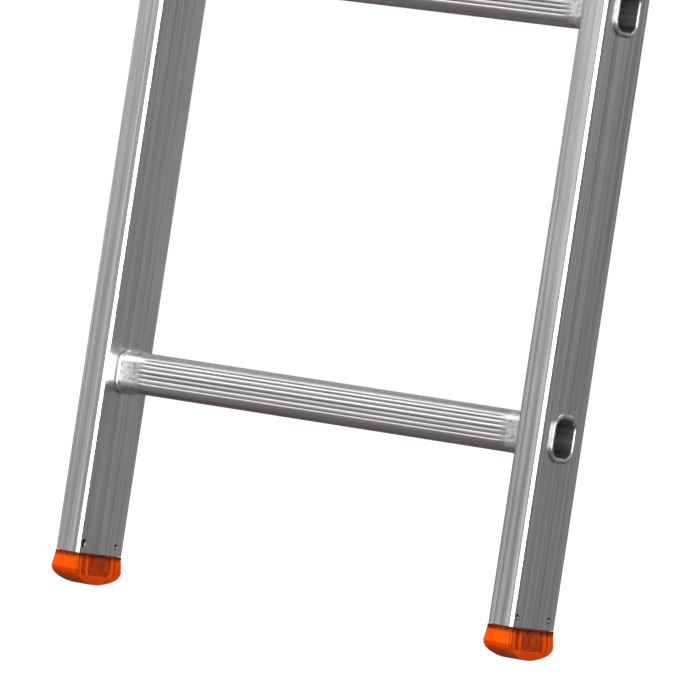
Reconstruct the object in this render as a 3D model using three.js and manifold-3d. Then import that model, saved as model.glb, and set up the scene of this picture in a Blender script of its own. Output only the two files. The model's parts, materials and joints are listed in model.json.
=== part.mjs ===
// Two-section push-up extension ladder: an aluminium base section on rounded plastic feet, and a
// narrower fly section that slides up in front of it and is let down on its rungs by two sprung hooks.
//
// Millimetres, +Z up along the rails. X runs across the ladder and Y from its front to its back.
// The origin is on the ground, midway between the rails and midway between the two sections.
// The fly section is drawn at the top of its travel: it has been pushed up past its highest working
// rung and is ready to be let down on to it, with three rungs overlapping.

import * as THREE from "three";
import { mergeVertices } from "three/addons/utils/BufferGeometryUtils.js";
import Module from "manifold-3d";

const wasm = await Module();
wasm.setup();

// ---------------------------------------------------------------- driving dimensions

const RUNG_PITCH = 280;
const RUNG_COUNT = 7;
const FIRST_RUNG_Z = 146; // centre of the lowest rung above the ground
const EXTENSION_PITCHES = 4; // how many rungs up the fly section works
const HOOK_LIFT = 48; // its height over that rung, where the hooks can swing past the rung

const RAIL_WIDTH = 20; // across the ladder
const RAIL_DEPTH = 50; // front to back
const RAIL_WALL = 1.5;
const RAIL_CHAMFER = 2.1;
const BASE_WIDTH = 380; // over the base section's rails
const FLY_WIDTH = 324; // over the fly section's rails
const SECTION_GAP = 3; // between the two sections, front to back

const RUNG_HEIGHT = 28;
const RUNG_DEPTH = 24;
const RUNG_RADIUS = 7.5;
const RUNG_WALL = 1.5;
const COLLAR_THICK = 3; // the swaged bead against the rail's inner face
const COLLAR_PROUD = 2.5;
const FLARE_THICK = 2.2; // the rolled lip outside the rail
const FLARE_PROUD = 2.3;

const FIT = 0.3; // gap left between faces that touch on the real ladder
const OVERLAP = 1; // how far solids that are joined or cut run into each other
const WELD = 1e-4; // points closer than this are one
const CORNER_STEPS = 2; // flats round each corner of a rung

const FOOT_HEIGHT = 21; // ground to the lower end of the metal
const FOOT_SKIRT = 11.5; // its straight part
const FOOT_FLARE = 1.2; // how far the skirt's lower edge stands out on each side
const FOOT_LAND = 6; // flat under the foot, front to back
const SOLE_FULLNESS = 1.2; // height of the half ellipse that shapes the sole, of the sole's height
const SOLE_STEPS = 5; // flats along each half of the sole
const CAP_HEIGHT = 5; // the flat end caps
const PLUG_LENGTH = 24; // the part of a foot or cap inside its rail

const SHEET = 3; // the guides' steel
const GUIDE_HEIGHT = 70;
const LIP_REACH = 20; // how far a lip covers the rail that it guides
const WEB_REACH = 18; // of the web riveted to a base rail, behind the middle of that rail
const FLANGE_INSET = 5; // of the flange riveted to a fly rail, from the front of that rail
const FLARE_CLEAR = 1.3; // between a rung's rolled lip and the guide that passes it
const RIVET_INSET = 15; // from a guide's ends
const RIVET_STAGGER = 8; // in front of or behind the middle of the rail
const PAD_THICK = 2;
const PAD_WIDTH = 15;
const PAD_HEIGHT = 60;
const PAD_SHIFT = 1; // of the pads on the base rails, outwards
const PEG_STEP = 18; // from the middle of a pad to its pegs
const PEG_RADIUS = 2.6;
const PEG_HEAD_RADIUS = 4;
const PEG_HEAD_THICK = 1.2;
const PEG_SIDES = 6;
const BASE_GUIDE_Z = 1870; // lower edge of the guides at the top of the base section
const FLY_GUIDE_Z = 36; // lower edge of the guides at the bottom of the fly section, when closed

const HOOK_THICK = 5;
const HOOK_PIVOT_Y = -10;
const HOOK_PIVOT_RISE = 26; // above the centres of the two rungs that the hook bears on
const HOOK_BOSS = 10; // radius of the hook round its pivot
const HOOK_MEET_Y = 6; // where the plate's upper edges run into the boss, from the pivot
const HOOK_MEET_Z = 8;
const HOOK_TAIL = 25; // reach forward of the pivot, over the fly section's own rung
const HOOK_NOSE = 7; // thickness of the nose behind the base rung
const HOOK_NOSE_DROP = 15; // how far the nose reaches below the top of that rung
const HOOK_CLEAR = 1; // between the nose and the rung
const HOOK_CORNER = 2; // cut off the nose's corners
const HOOK_BACK = 4; // cut off the corner above the nose
const HOOK_SIDES = 20; // round the boss
const BORE_SIDES = 12; // round the bores of the hooks and their bushes
const BUSH_GAP = 0.5; // between the hook and the collars of the rungs
const BUSH_RADIUS = 7;
const BUSH_SIDES = 16;
const SPRING_WIRE = 1.4;
const SPRING_RADIUS = 6.6; // to the middle of the wire
const SPRING_TURNS = 2;
const SPRING_LEG = 16;
const SPRING_LEAD = 1.1; // from turn to turn, in wires
const SPRING_STEPS = 8; // flats in each turn
const WIRE_SIDES = 6;

const RIVET = { radius: 3.2, headRadius: 6.5, tailRadius: 5.2, headThick: 2 };
const PIVOT = { radius: 4, headRadius: 8, tailRadius: 6.5, headThick: 2.4 };
const PIN_SIDES = 8;
const PIN_CONE = 0.6; // small end of a head, of its large end

// ---------------------------------------------------------------- worked-out sizes

const RAIL_BOTTOM = FOOT_HEIGHT;
const SECTION_TOP = FIRST_RUNG_Z + RUNG_PITCH * (RUNG_COUNT - 1) + FIRST_RUNG_Z;
const RAIL_TOP = SECTION_TOP - CAP_HEIGHT;
const EXTENSION = RUNG_PITCH * EXTENSION_PITCHES + HOOK_LIFT;
const HALF_PLANE = (RAIL_DEPTH + SECTION_GAP) / 2; // each section's centre plane from the origin
const BASE = { name: "base", outer: BASE_WIDTH / 2, y: HALF_PLANE };
const FLY = { name: "fly", outer: FLY_WIDTH / 2, y: -HALF_PLANE };
const SIDES = [
  { name: "left", sign: -1 },
  { name: "right", sign: 1 },
];

const MATERIALS = {
  rail: new THREE.MeshStandardMaterial({ color: 0xa9aaac, metalness: 0.9, roughness: 0.42 }),
  rung: new THREE.MeshStandardMaterial({ color: 0xc3c4c6, metalness: 0.9, roughness: 0.3 }),
  plastic: new THREE.MeshStandardMaterial({ color: 0xf25a0c, metalness: 0, roughness: 0.45 }),
  steel: new THREE.MeshStandardMaterial({ color: 0x9ea2a6, metalness: 0.9, roughness: 0.38 }),
  pad: new THREE.MeshStandardMaterial({ color: 0x26272a, metalness: 0, roughness: 0.6 }),
  fastener: new THREE.MeshStandardMaterial({ color: 0xb7babd, metalness: 1, roughness: 0.3 }),
};

// ---------------------------------------------------------------- solids

function solidFrom(geometry) {
  const bare = geometry.index ? geometry.toNonIndexed() : geometry.clone();
  bare.deleteAttribute("normal");
  bare.deleteAttribute("uv");
  const merged = mergeVertices(bare, WELD);
  return new wasm.Manifold(
    new wasm.Mesh({
      numProp: 3,
      vertProperties: merged.attributes.position.array,
      triVerts: new Uint32Array(merged.index.array),
    }),
  );
}

function geometryFrom(solid) {
  const mesh = solid.getMesh();
  const indexed = new THREE.BufferGeometry();
  indexed.setAttribute("position", new THREE.BufferAttribute(mesh.vertProperties, 3));
  indexed.setIndex(new THREE.BufferAttribute(mesh.triVerts, 1));
  const flat = indexed.toNonIndexed();
  flat.computeVertexNormals();
  return flat;
}

// A shape drawn in the Y-Z plane, extruded along X from x0 to x1.
function alongX(shape, x0, x1) {
  const geometry = new THREE.ExtrudeGeometry(shape, { depth: x1 - x0, bevelEnabled: false });
  const axes = new THREE.Matrix4().makeBasis(
    new THREE.Vector3(0, 1, 0),
    new THREE.Vector3(0, 0, 1),
    new THREE.Vector3(1, 0, 0),
  );
  return solidFrom(geometry.applyMatrix4(axes).translate(x0, 0, 0));
}

// A shape drawn in the X-Z plane, extruded along Y from y0 to y1.
function alongY(shape, y0, y1) {
  const geometry = new THREE.ExtrudeGeometry(shape, { depth: y1 - y0, bevelEnabled: false });
  return solidFrom(geometry.rotateX(Math.PI / 2).translate(0, y1, 0));
}

// A shape drawn in plan, extruded from z0 to z1.
function alongZ(shape, z0, z1) {
  const geometry = new THREE.ExtrudeGeometry(shape, { depth: z1 - z0, bevelEnabled: false });
  return solidFrom(geometry.translate(0, 0, z0));
}

function box(x0, x1, y0, y1, z0, z1) {
  const geometry = new THREE.BoxGeometry(x1 - x0, y1 - y0, z1 - z0);
  return solidFrom(geometry.translate((x0 + x1) / 2, (y0 + y1) / 2, (z0 + z1) / 2));
}

function rodAlongX(radius, x0, x1, y, z, sides) {
  const geometry = new THREE.CylinderGeometry(radius, radius, x1 - x0, sides);
  return solidFrom(geometry.rotateZ(Math.PI / 2).translate((x0 + x1) / 2, y, z));
}

function rodAlongY(radius, y0, y1, x, z, sides) {
  const geometry = new THREE.CylinderGeometry(radius, radius, y1 - y0, sides);
  return solidFrom(geometry.translate(x, (y0 + y1) / 2, z));
}

function arcPoints(cx, cy, radius, from, to, steps) {
  return Array.from({ length: steps + 1 }, (_, i) => {
    const angle = from + ((to - from) * i) / steps;
    return [cx + radius * Math.cos(angle), cy + radius * Math.sin(angle)];
  });
}

function polygon(points, target = new THREE.Shape()) {
  return target.setFromPoints(points.map(([x, y]) => new THREE.Vector2(x, y)));
}

// A rectangle round (cx, cy) with round corners.
function roundedRectangle(width, height, radius, cx, cy) {
  const x = width / 2 - radius;
  const y = height / 2 - radius;
  const quarter = Math.PI / 2;
  const corners = [
    [cx + x, cy + y],
    [cx - x, cy + y],
    [cx - x, cy - y],
    [cx + x, cy - y],
  ];
  const points = corners.flatMap(([px, py], i) =>
    arcPoints(px, py, radius, i * quarter, (i + 1) * quarter, CORNER_STEPS),
  );
  return polygon(points);
}

function mesh(name, solid, material) {
  const made = new THREE.Mesh(geometryFrom(solid), material);
  made.name = name;
  return made;
}

// Right-hand pieces are drawn at positive x; a left-hand one is its mirror image.
function handed(side, solid) {
  return side.sign > 0 ? solid : solid.mirror([1, 0, 0]);
}

// ---------------------------------------------------------------- rails and rungs

const rungHeights = Array.from({ length: RUNG_COUNT }, (_, i) => FIRST_RUNG_Z + i * RUNG_PITCH);

function chamferedSection(width, depth, chamfer, cx, cy) {
  const x = width / 2;
  const y = depth / 2;
  const corners = [
    [x, -y + chamfer],
    [x, y - chamfer],
    [x - chamfer, y],
    [-x + chamfer, y],
    [-x, y - chamfer],
    [-x, -y + chamfer],
    [-x + chamfer, -y],
    [x - chamfer, -y],
  ];
  return corners.map(([px, py]) => [px + cx, py + cy]);
}

function rungSection(offset, y, z) {
  return roundedRectangle(
    RUNG_DEPTH + 2 * offset,
    RUNG_HEIGHT + 2 * offset,
    RUNG_RADIUS + offset,
    y,
    z,
  );
}

// A box-section rail with a hole through both walls at each rung and at each rivet or pivot.
function rail(section, pinHoles) {
  const centre = section.outer - RAIL_WIDTH / 2;
  const outline = polygon(
    chamferedSection(RAIL_WIDTH, RAIL_DEPTH, RAIL_CHAMFER, centre, section.y),
  );
  const inside = chamferedSection(
    RAIL_WIDTH - 2 * RAIL_WALL,
    RAIL_DEPTH - 2 * RAIL_WALL,
    RAIL_CHAMFER - RAIL_WALL / 2,
    centre,
    section.y,
  );
  outline.holes.push(polygon(inside, new THREE.Path()));
  let solid = alongZ(outline, RAIL_BOTTOM, RAIL_TOP);
  const from = section.outer - RAIL_WIDTH - OVERLAP;
  const to = section.outer + OVERLAP;
  for (const z of rungHeights) {
    solid = solid.subtract(alongX(rungSection(FIT, section.y, z), from, to));
  }
  for (const { pin, y, z } of pinHoles) {
    solid = solid.subtract(rodAlongX(pin.radius + FIT, from, to, y, z, PIN_SIDES));
  }
  return solid;
}

// A tube through both rails, with a bead inside each rail and a rolled lip outside it.
function rung(section, z) {
  const inner = section.outer - RAIL_WIDTH;
  const end = section.outer + FIT + FLARE_THICK;
  const slice = (offset, x0, x1) => alongX(rungSection(offset, section.y, z), x0, x1);
  let solid = slice(0, -end, end);
  for (const side of SIDES) {
    const collar = slice(COLLAR_PROUD, inner - FIT - COLLAR_THICK, inner - FIT);
    const flare = slice(FLARE_PROUD, section.outer + FIT, end);
    solid = solid.add(handed(side, collar)).add(handed(side, flare));
  }
  return solid.subtract(slice(-RUNG_WALL, -end - OVERLAP, end + OVERLAP));
}

// ---------------------------------------------------------------- feet and caps

function plug(section, z0, z1) {
  const clear = RAIL_WALL + FIT;
  const centre = section.outer - RAIL_WIDTH / 2;
  const x = RAIL_WIDTH / 2 - clear;
  const y = RAIL_DEPTH / 2 - clear;
  const chamfer = RAIL_CHAMFER;
  return alongZ(polygon(chamferedSection(2 * x, 2 * y, chamfer, centre, section.y)), z0, z1);
}

// Half the sole's depth at each height, from its land up to the skirt: part of a half ellipse.
function soleProfile(wide, edge) {
  const rise = edge * SOLE_FULLNESS;
  const swell = (z) => Math.sqrt(1 - (1 - z / rise) ** 2);
  const land = FOOT_LAND / 2;
  return Array.from({ length: SOLE_STEPS + 1 }, (_, i) => {
    const z = edge * (i / SOLE_STEPS) ** 2;
    return [Math.max(land, (wide * swell(z)) / swell(edge)), z];
  });
}

// A foot: a skirt that flares a little, and a barrel-shaped sole with a flat land.
function foot(section) {
  const top = RAIL_BOTTOM - FIT;
  const edge = RAIL_BOTTOM - FOOT_SKIRT;
  const half = RAIL_DEPTH / 2;
  const wide = half + FOOT_FLARE;
  const sole = soleProfile(wide, edge);
  const side = polygon([
    [section.y + half, top],
    [section.y - half, top],
    ...sole.toReversed().map(([y, z]) => [section.y - y, z]),
    ...sole.map(([y, z]) => [section.y + y, z]),
  ]);
  const inner = section.outer - RAIL_WIDTH;
  const barrel = alongX(side, inner - FOOT_FLARE, section.outer + FOOT_FLARE);
  // The two side faces slope in towards the rail.
  const front = polygon([
    [inner - FOOT_FLARE, -OVERLAP],
    [section.outer + FOOT_FLARE, -OVERLAP],
    [section.outer + FOOT_FLARE, edge],
    [section.outer, top],
    [inner, top],
    [inner - FOOT_FLARE, edge],
  ]);
  const slopes = alongY(front, section.y - wide - OVERLAP, section.y + wide + OVERLAP);
  return barrel.intersect(slopes).add(plug(section, top - OVERLAP, top + PLUG_LENGTH));
}

// A flat end cap, below the rail when down is true and above it otherwise.
function endCap(section, down) {
  const centre = section.outer - RAIL_WIDTH / 2;
  const outline = polygon(
    chamferedSection(RAIL_WIDTH, RAIL_DEPTH, RAIL_CHAMFER, centre, section.y),
  );
  if (down) {
    const top = RAIL_BOTTOM - FIT;
    const lid = alongZ(outline, RAIL_BOTTOM - CAP_HEIGHT, top);
    return lid.add(plug(section, top - OVERLAP, top + PLUG_LENGTH));
  }
  const bottom = RAIL_TOP + FIT;
  const lid = alongZ(outline, bottom, SECTION_TOP);
  return lid.add(plug(section, bottom - PLUG_LENGTH, bottom + OVERLAP));
}

// ---------------------------------------------------------------- guides and their pads

const PAD_ROOM = PAD_THICK + 2 * FIT; // from a rail's face to the lip beside it
const BASE_INNER = BASE.outer - RAIL_WIDTH;
const FLY_FRONT = FLY.y - RAIL_DEPTH / 2;
const FLY_BACK = FLY.y + RAIL_DEPTH / 2;
const BASE_FRONT = BASE.y - RAIL_DEPTH / 2;
const BASE_BACK = BASE.y + RAIL_DEPTH / 2;

// The two rivets of a guide whose lower edge is at z0, on a rail whose middle is at y.
function guideRivets(y, z0) {
  return [
    { pin: RIVET, y: y - RIVET_STAGGER, z: z0 + RIVET_INSET },
    { pin: RIVET, y: y + RIVET_STAGGER, z: z0 + GUIDE_HEIGHT - RIVET_INSET },
  ];
}

const baseGuide = {
  z0: BASE_GUIDE_Z,
  webX: BASE_INNER - FIT - SHEET,
  lips: [FLY_FRONT - PAD_ROOM - SHEET, FLY_BACK + PAD_ROOM], // low y of the front and rear lips
  rivets: guideRivets(BASE.y, BASE_GUIDE_Z),
};
const flyGuide = {
  z0: FLY_GUIDE_Z,
  flangeX: FLY.outer + FIT,
  webX: BASE.outer + FIT + FLARE_THICK + FLARE_CLEAR,
  lips: [BASE_FRONT - PAD_ROOM - SHEET, BASE_BACK + PAD_ROOM],
  rivets: guideRivets(FLY.y, FLY_GUIDE_Z),
};

function pegHeights(z0) {
  return [z0 + GUIDE_HEIGHT / 2 - PEG_STEP, z0 + GUIDE_HEIGHT / 2 + PEG_STEP];
}

// Holes in the guides' lips for the pads' pegs.
function withPegHoles(solid, lips, padX, z0) {
  for (const y of lips) {
    const [from, to] = [y - OVERLAP, y + SHEET + OVERLAP];
    for (const z of pegHeights(z0)) {
      solid = solid.subtract(rodAlongY(PEG_RADIUS + FIT, from, to, padX, z, PEG_SIDES));
    }
  }
  return solid;
}

function withRivetHoles(solid, rivets, x0, x1) {
  for (const { y, z } of rivets) {
    solid = solid.subtract(rodAlongX(RIVET.radius + FIT, x0, x1, y, z, PIN_SIDES));
  }
  return solid;
}

const BASE_PAD_X = FLY.outer - LIP_REACH / 2; // middle of the pads that run on the fly rails
const FLY_PAD_X = BASE.outer - LIP_REACH / 2 + PAD_SHIFT; // middle of the pads that run on the base rails

// Riveted inside the top of a base rail, with two lips round the fly rail.
function topGuide() {
  const { webX, lips, z0, rivets } = baseGuide;
  const z1 = z0 + GUIDE_HEIGHT;
  let solid = box(webX, webX + SHEET, lips[0], BASE.y + WEB_REACH, z0, z1);
  for (const y of lips) {
    solid = solid.add(box(FLY.outer - LIP_REACH, webX + OVERLAP, y, y + SHEET, z0, z1));
  }
  solid = withRivetHoles(solid, rivets, webX - OVERLAP, webX + SHEET + OVERLAP);
  return withPegHoles(solid, lips, BASE_PAD_X, z0);
}

// Riveted outside the bottom of a fly rail, and bent round the base rail.
function bottomGuide() {
  const { flangeX, webX, lips, z0, rivets } = flyGuide;
  const z1 = z0 + GUIDE_HEIGHT;
  const outer = webX + SHEET;
  let solid = box(flangeX, flangeX + SHEET, FLY_FRONT + FLANGE_INSET, lips[0] + SHEET, z0, z1);
  solid = solid.add(box(flangeX, outer, lips[0], lips[0] + SHEET, z0, z1));
  solid = solid.add(box(webX, outer, lips[0], lips[1] + SHEET, z0, z1));
  solid = solid.add(box(BASE.outer - LIP_REACH, outer, lips[1], lips[1] + SHEET, z0, z1));
  solid = withRivetHoles(solid, rivets, flangeX - OVERLAP, flangeX + SHEET + OVERLAP);
  return withPegHoles(solid, lips, FLY_PAD_X, z0);
}

// A strip on the rail's side of a lip, with two pegs that snap through it. faces is +1 when the strip
// is on the lip's high-y side.
function glidePad(padX, lipY, faces, z0) {
  const middle = z0 + GUIDE_HEIGHT / 2;
  const near = faces > 0 ? lipY + SHEET + FIT : lipY - FIT;
  const far = near + faces * PAD_THICK;
  const outside = faces > 0 ? lipY - FIT : lipY + SHEET + FIT;
  const headEnd = outside - faces * PEG_HEAD_THICK;
  let solid = box(
    padX - PAD_WIDTH / 2,
    padX + PAD_WIDTH / 2,
    Math.min(near, far),
    Math.max(near, far),
    middle - PAD_HEIGHT / 2,
    middle + PAD_HEIGHT / 2,
  );
  for (const z of pegHeights(z0)) {
    const root = near + faces * (PAD_THICK / 2);
    const stem = [Math.min(root, headEnd), Math.max(root, headEnd)];
    solid = solid.add(rodAlongY(PEG_RADIUS, stem[0], stem[1], padX, z, PEG_SIDES));
    const head = [Math.min(outside, headEnd), Math.max(outside, headEnd)];
    solid = solid.add(rodAlongY(PEG_HEAD_RADIUS, head[0], head[1], padX, z, PEG_SIDES));
  }
  return solid;
}

// ---------------------------------------------------------------- rung hooks

const HOOK_OUTSIDE = FLY.outer - RAIL_WIDTH - FIT - COLLAR_THICK - BUSH_GAP; // face towards the rail
const HOOK_INSIDE = HOOK_OUTSIDE - HOOK_THICK;
const HOOK_PIVOT_Z = FIRST_RUNG_Z + HOOK_PIVOT_RISE;
const SPRING_LENGTH = SPRING_WIRE * (SPRING_LEAD * SPRING_TURNS + 1);
const PIVOT_HEAD_X = HOOK_INSIDE - SPRING_LENGTH - 3 * FIT; // face of the pivot's head

// A plate on the inside of the fly rail. Its tail bears on the fly section's own rung, and its mouth
// sits over the base rung behind, with a nose that drops behind that rung.
function rungHook() {
  const seat = RUNG_HEIGHT / 2 + FIT - HOOK_PIVOT_RISE; // bearing faces, from the pivot
  const rungBack = BASE.y + RUNG_DEPTH / 2 - HOOK_PIVOT_Y;
  const nose = rungBack + HOOK_CLEAR;
  const back = nose + HOOK_NOSE;
  const drop = seat - HOOK_NOSE_DROP;
  const web = -HOOK_BOSS / 2; // underside of the plate beside the pivot
  const outline = [
    [-HOOK_TAIL, seat],
    [web + HOOK_CLEAR, seat],
    [-web - HOOK_CLEAR, web],
    [rungBack - RUNG_DEPTH + 3 * HOOK_CLEAR, seat],
    [nose - HOOK_CORNER, seat],
    [nose, seat - HOOK_CORNER],
    [nose, drop],
    [nose + HOOK_CORNER, drop - HOOK_CORNER],
    [back - HOOK_CORNER, drop - HOOK_CORNER],
    [back, drop],
    [back, -HOOK_CORNER],
    [back - HOOK_BACK, HOOK_CORNER],
    [HOOK_MEET_Y, HOOK_MEET_Z],
    [-HOOK_MEET_Y, HOOK_MEET_Z],
    [-HOOK_TAIL, -HOOK_CORNER],
  ];
  const placed = outline.map(([y, z]) => [y + HOOK_PIVOT_Y, z + HOOK_PIVOT_Z]);
  const axis = [HOOK_PIVOT_Y, HOOK_PIVOT_Z];
  const boss = rodAlongX(HOOK_BOSS, HOOK_INSIDE, HOOK_OUTSIDE, ...axis, HOOK_SIDES);
  const [from, to] = [HOOK_INSIDE - OVERLAP, HOOK_OUTSIDE + OVERLAP];
  const bore = rodAlongX(PIVOT.radius + FIT, from, to, ...axis, BORE_SIDES);
  return alongX(polygon(placed), HOOK_INSIDE, HOOK_OUTSIDE).add(boss).subtract(bore);
}

// The bush between a hook and its rail.
function bush() {
  const x0 = HOOK_OUTSIDE + FIT;
  const x1 = FLY.outer - RAIL_WIDTH - FIT;
  const axis = [HOOK_PIVOT_Y, HOOK_PIVOT_Z];
  const ring = rodAlongX(BUSH_RADIUS, x0, x1, ...axis, BUSH_SIDES);
  const [from, to] = [x0 - OVERLAP, x1 + OVERLAP];
  return ring.subtract(rodAlongX(PIVOT.radius + FIT, from, to, ...axis, BORE_SIDES));
}

// The torsion spring round the pivot: one leg lies along the hook and the other hangs by the rail.
function hookSpring() {
  const x0 = HOOK_INSIDE - FIT - SPRING_WIRE / 2;
  const advance = -SPRING_LEAD * SPRING_WIRE * SPRING_TURNS;
  const coilSteps = SPRING_TURNS * SPRING_STEPS;
  const coil = Array.from({ length: coilSteps + 1 }, (_, i) => {
    const angle = (2 * Math.PI * SPRING_TURNS * i) / coilSteps;
    return [
      x0 + (advance * i) / coilSteps,
      SPRING_RADIUS * Math.sin(angle),
      -SPRING_RADIUS * Math.cos(angle),
    ];
  });
  const points = [
    [x0, -SPRING_LEG, -SPRING_RADIUS],
    [x0, -SPRING_LEG / 2, -SPRING_RADIUS],
    ...coil,
    [x0 + advance, SPRING_LEG / 2, -SPRING_RADIUS],
    [x0 + advance, SPRING_LEG, -SPRING_RADIUS],
  ];
  const place = ([x, y, z]) => new THREE.Vector3(x, y + HOOK_PIVOT_Y, z + HOOK_PIVOT_Z);
  const extrudePath = new THREE.CatmullRomCurve3(points.map(place), false, "catmullrom", 0.5);
  const lastSide = 2 * Math.PI * (1 - 1 / WIRE_SIDES);
  const wire = polygon(arcPoints(0, 0, SPRING_WIRE / 2, 0, lastSide, WIRE_SIDES - 1));
  const steps = coilSteps + SPRING_STEPS;
  return solidFrom(new THREE.ExtrudeGeometry(wire, { steps, extrudePath }));
}

// ---------------------------------------------------------------- rivets and pivots

// A pin along X with a low conical head against headX and a smaller closed head against tailX.
function headedPin(pin, headX, tailX, y, z) {
  const towards = Math.sign(headX - tailX);
  const headFace = headX + towards * FIT;
  const tailFace = tailX - towards * FIT;
  const head = (face, direction, radius) => {
    const [left, right] = direction > 0 ? [radius, radius * PIN_CONE] : [radius * PIN_CONE, radius];
    const cone = new THREE.CylinderGeometry(left, right, pin.headThick, PIN_SIDES);
    const middle = face + (direction * pin.headThick) / 2;
    return solidFrom(cone.rotateZ(Math.PI / 2).translate(middle, y, z));
  };
  const ends = [headFace + towards * OVERLAP, tailFace - towards * OVERLAP];
  const shank = rodAlongX(pin.radius, Math.min(...ends), Math.max(...ends), y, z, PIN_SIDES);
  return shank
    .add(head(headFace, towards, pin.headRadius))
    .add(head(tailFace, -towards, pin.tailRadius));
}

// ---------------------------------------------------------------- assembly

function addSection(group, spec, pinHoles) {
  const railSolid = rail(spec, pinHoles);
  for (const side of SIDES) {
    group.add(mesh(`${spec.name}_rail_${side.name}`, handed(side, railSolid), MATERIALS.rail));
    const cap = handed(side, endCap(spec, false));
    group.add(mesh(`${spec.name}_top_cap_${side.name}`, cap, MATERIALS.plastic));
  }
  rungHeights.forEach((z, i) => {
    group.add(mesh(`${spec.name}_rung_${i + 1}`, rung(spec, z), MATERIALS.rung));
  });
}

// The guides, pads and rivets of one section; spans are the rivets' head and tail faces.
function addGuides(group, owner, guide, padX, solid, [headX, tailX]) {
  const pads = [
    ["front", guide.lips[0], 1],
    ["rear", guide.lips[1], -1],
  ];
  for (const side of SIDES) {
    const label = (what) => `${owner}_${what}_${side.name}`;
    group.add(mesh(label("guide"), handed(side, solid), MATERIALS.steel));
    for (const [place, lipY, faces] of pads) {
      const pad = glidePad(padX, lipY, faces, guide.z0);
      group.add(mesh(label(`${place}_pad`), handed(side, pad), MATERIALS.pad));
    }
    guide.rivets.forEach(({ pin, y, z }, i) => {
      const rivet = handed(side, headedPin(pin, headX, tailX, y, z));
      group.add(mesh(label(`guide_rivet_${i + 1}`), rivet, MATERIALS.fastener));
    });
  }
}

function addHooks(group) {
  const pivot = headedPin(PIVOT, PIVOT_HEAD_X, FLY.outer, HOOK_PIVOT_Y, HOOK_PIVOT_Z);
  const pieces = [
    ["rung_hook", rungHook(), MATERIALS.steel],
    ["hook_bush", bush(), MATERIALS.pad],
    ["hook_spring", hookSpring(), MATERIALS.fastener],
    ["hook_pivot", pivot, MATERIALS.fastener],
  ];
  for (const side of SIDES) {
    for (const [name, solid, material] of pieces) {
      group.add(mesh(`${name}_${side.name}`, handed(side, solid), material));
    }
  }
}

const ladder = new THREE.Group();
const baseSection = new THREE.Group();
const flySection = new THREE.Group();
flySection.position.z = EXTENSION;
ladder.add(baseSection, flySection);

addSection(baseSection, BASE, baseGuide.rivets);
addGuides(baseSection, "base", baseGuide, BASE_PAD_X, topGuide(), [
  baseGuide.webX,
  BASE.outer,
]);

const pivotHole = { pin: PIVOT, y: HOOK_PIVOT_Y, z: HOOK_PIVOT_Z };
addSection(flySection, FLY, [...flyGuide.rivets, pivotHole]);
addGuides(flySection, "fly", flyGuide, FLY_PAD_X, bottomGuide(), [
  flyGuide.flangeX + SHEET,
  FLY.outer - RAIL_WIDTH,
]);
addHooks(flySection);

for (const side of SIDES) {
  baseSection.add(mesh(`foot_${side.name}`, handed(side, foot(BASE)), MATERIALS.plastic));
  const cap = handed(side, endCap(FLY, true));
  flySection.add(mesh(`fly_bottom_cap_${side.name}`, cap, MATERIALS.plastic));
}

export default ladder;
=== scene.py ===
"""A push-up aluminium extension ladder: its finished surfaces, floor, light and camera.

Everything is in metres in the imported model's frame: +Z up along the rails, +X to the right and +Y
from the climber's side to the back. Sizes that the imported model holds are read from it. The other
sizes are named below, in millimetres where the name ends in _MM.
"""

import json
import math

import bmesh
import bpy
from mathutils import Matrix, Vector

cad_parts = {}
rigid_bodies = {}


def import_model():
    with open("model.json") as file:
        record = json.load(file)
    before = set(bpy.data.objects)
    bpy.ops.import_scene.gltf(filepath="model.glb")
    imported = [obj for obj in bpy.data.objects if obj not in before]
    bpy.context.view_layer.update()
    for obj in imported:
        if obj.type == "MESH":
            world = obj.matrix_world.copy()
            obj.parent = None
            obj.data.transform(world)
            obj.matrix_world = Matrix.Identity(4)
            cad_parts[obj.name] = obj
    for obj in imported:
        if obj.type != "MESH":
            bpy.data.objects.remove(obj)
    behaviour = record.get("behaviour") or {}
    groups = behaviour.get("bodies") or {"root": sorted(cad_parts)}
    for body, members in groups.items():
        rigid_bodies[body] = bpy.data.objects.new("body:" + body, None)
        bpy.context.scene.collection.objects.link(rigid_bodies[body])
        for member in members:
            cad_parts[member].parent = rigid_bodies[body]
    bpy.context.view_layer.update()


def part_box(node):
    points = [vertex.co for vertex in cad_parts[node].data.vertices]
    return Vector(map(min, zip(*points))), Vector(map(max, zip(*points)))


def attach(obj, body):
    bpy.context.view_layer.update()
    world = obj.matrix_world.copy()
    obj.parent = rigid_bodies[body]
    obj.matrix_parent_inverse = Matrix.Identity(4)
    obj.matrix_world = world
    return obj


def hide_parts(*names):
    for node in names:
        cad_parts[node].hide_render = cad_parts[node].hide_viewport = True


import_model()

MM = 0.001

# ------------------------------------------------------------------ sizes

RAIL_WALL_MM = 1.5
RAIL_BEVEL_MM = 1.9  # flat at each corner of a rail
RAIL_BREAK_MM = 0.22  # small rounding where a flat meets a face
RAIL_GROOVE_MM = (0.5, 0.04)  # width and depth of the two fine lines on a rail's front face
RAIL_GROOVES = (0.26, 0.86)  # where they run, across the front face from the inner edge
RAIL_PANEL_MM = 0.14  # depth of the panel on a rail's inner face
RAIL_PANEL = (0.36, 0.86)  # where it starts and ends, from the front of the rail
RAIL_RIBS = (0.43, 0.54, 0.66, 0.77)  # ribs left standing in it
RAIL_RIB_MM = 1.2
RAIL_SLOPE_MM = 1.1  # width of the slopes between the panel and its ribs

RUNG_SIZE_MM = (24.0, 28.0)  # front to back, and high, at the plain part of a rung
RUNG_CORNER_MM = 7.5
LIP_CORNER_MM = 8.5  # of the rolled lip outside a rail
BORE_CORNER_MM = 8.0
RUNG_WALL_MM = 1.5
FLUTE_PITCH_MM = 3.1
FLUTE_DEPTH_MM = 0.42
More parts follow.
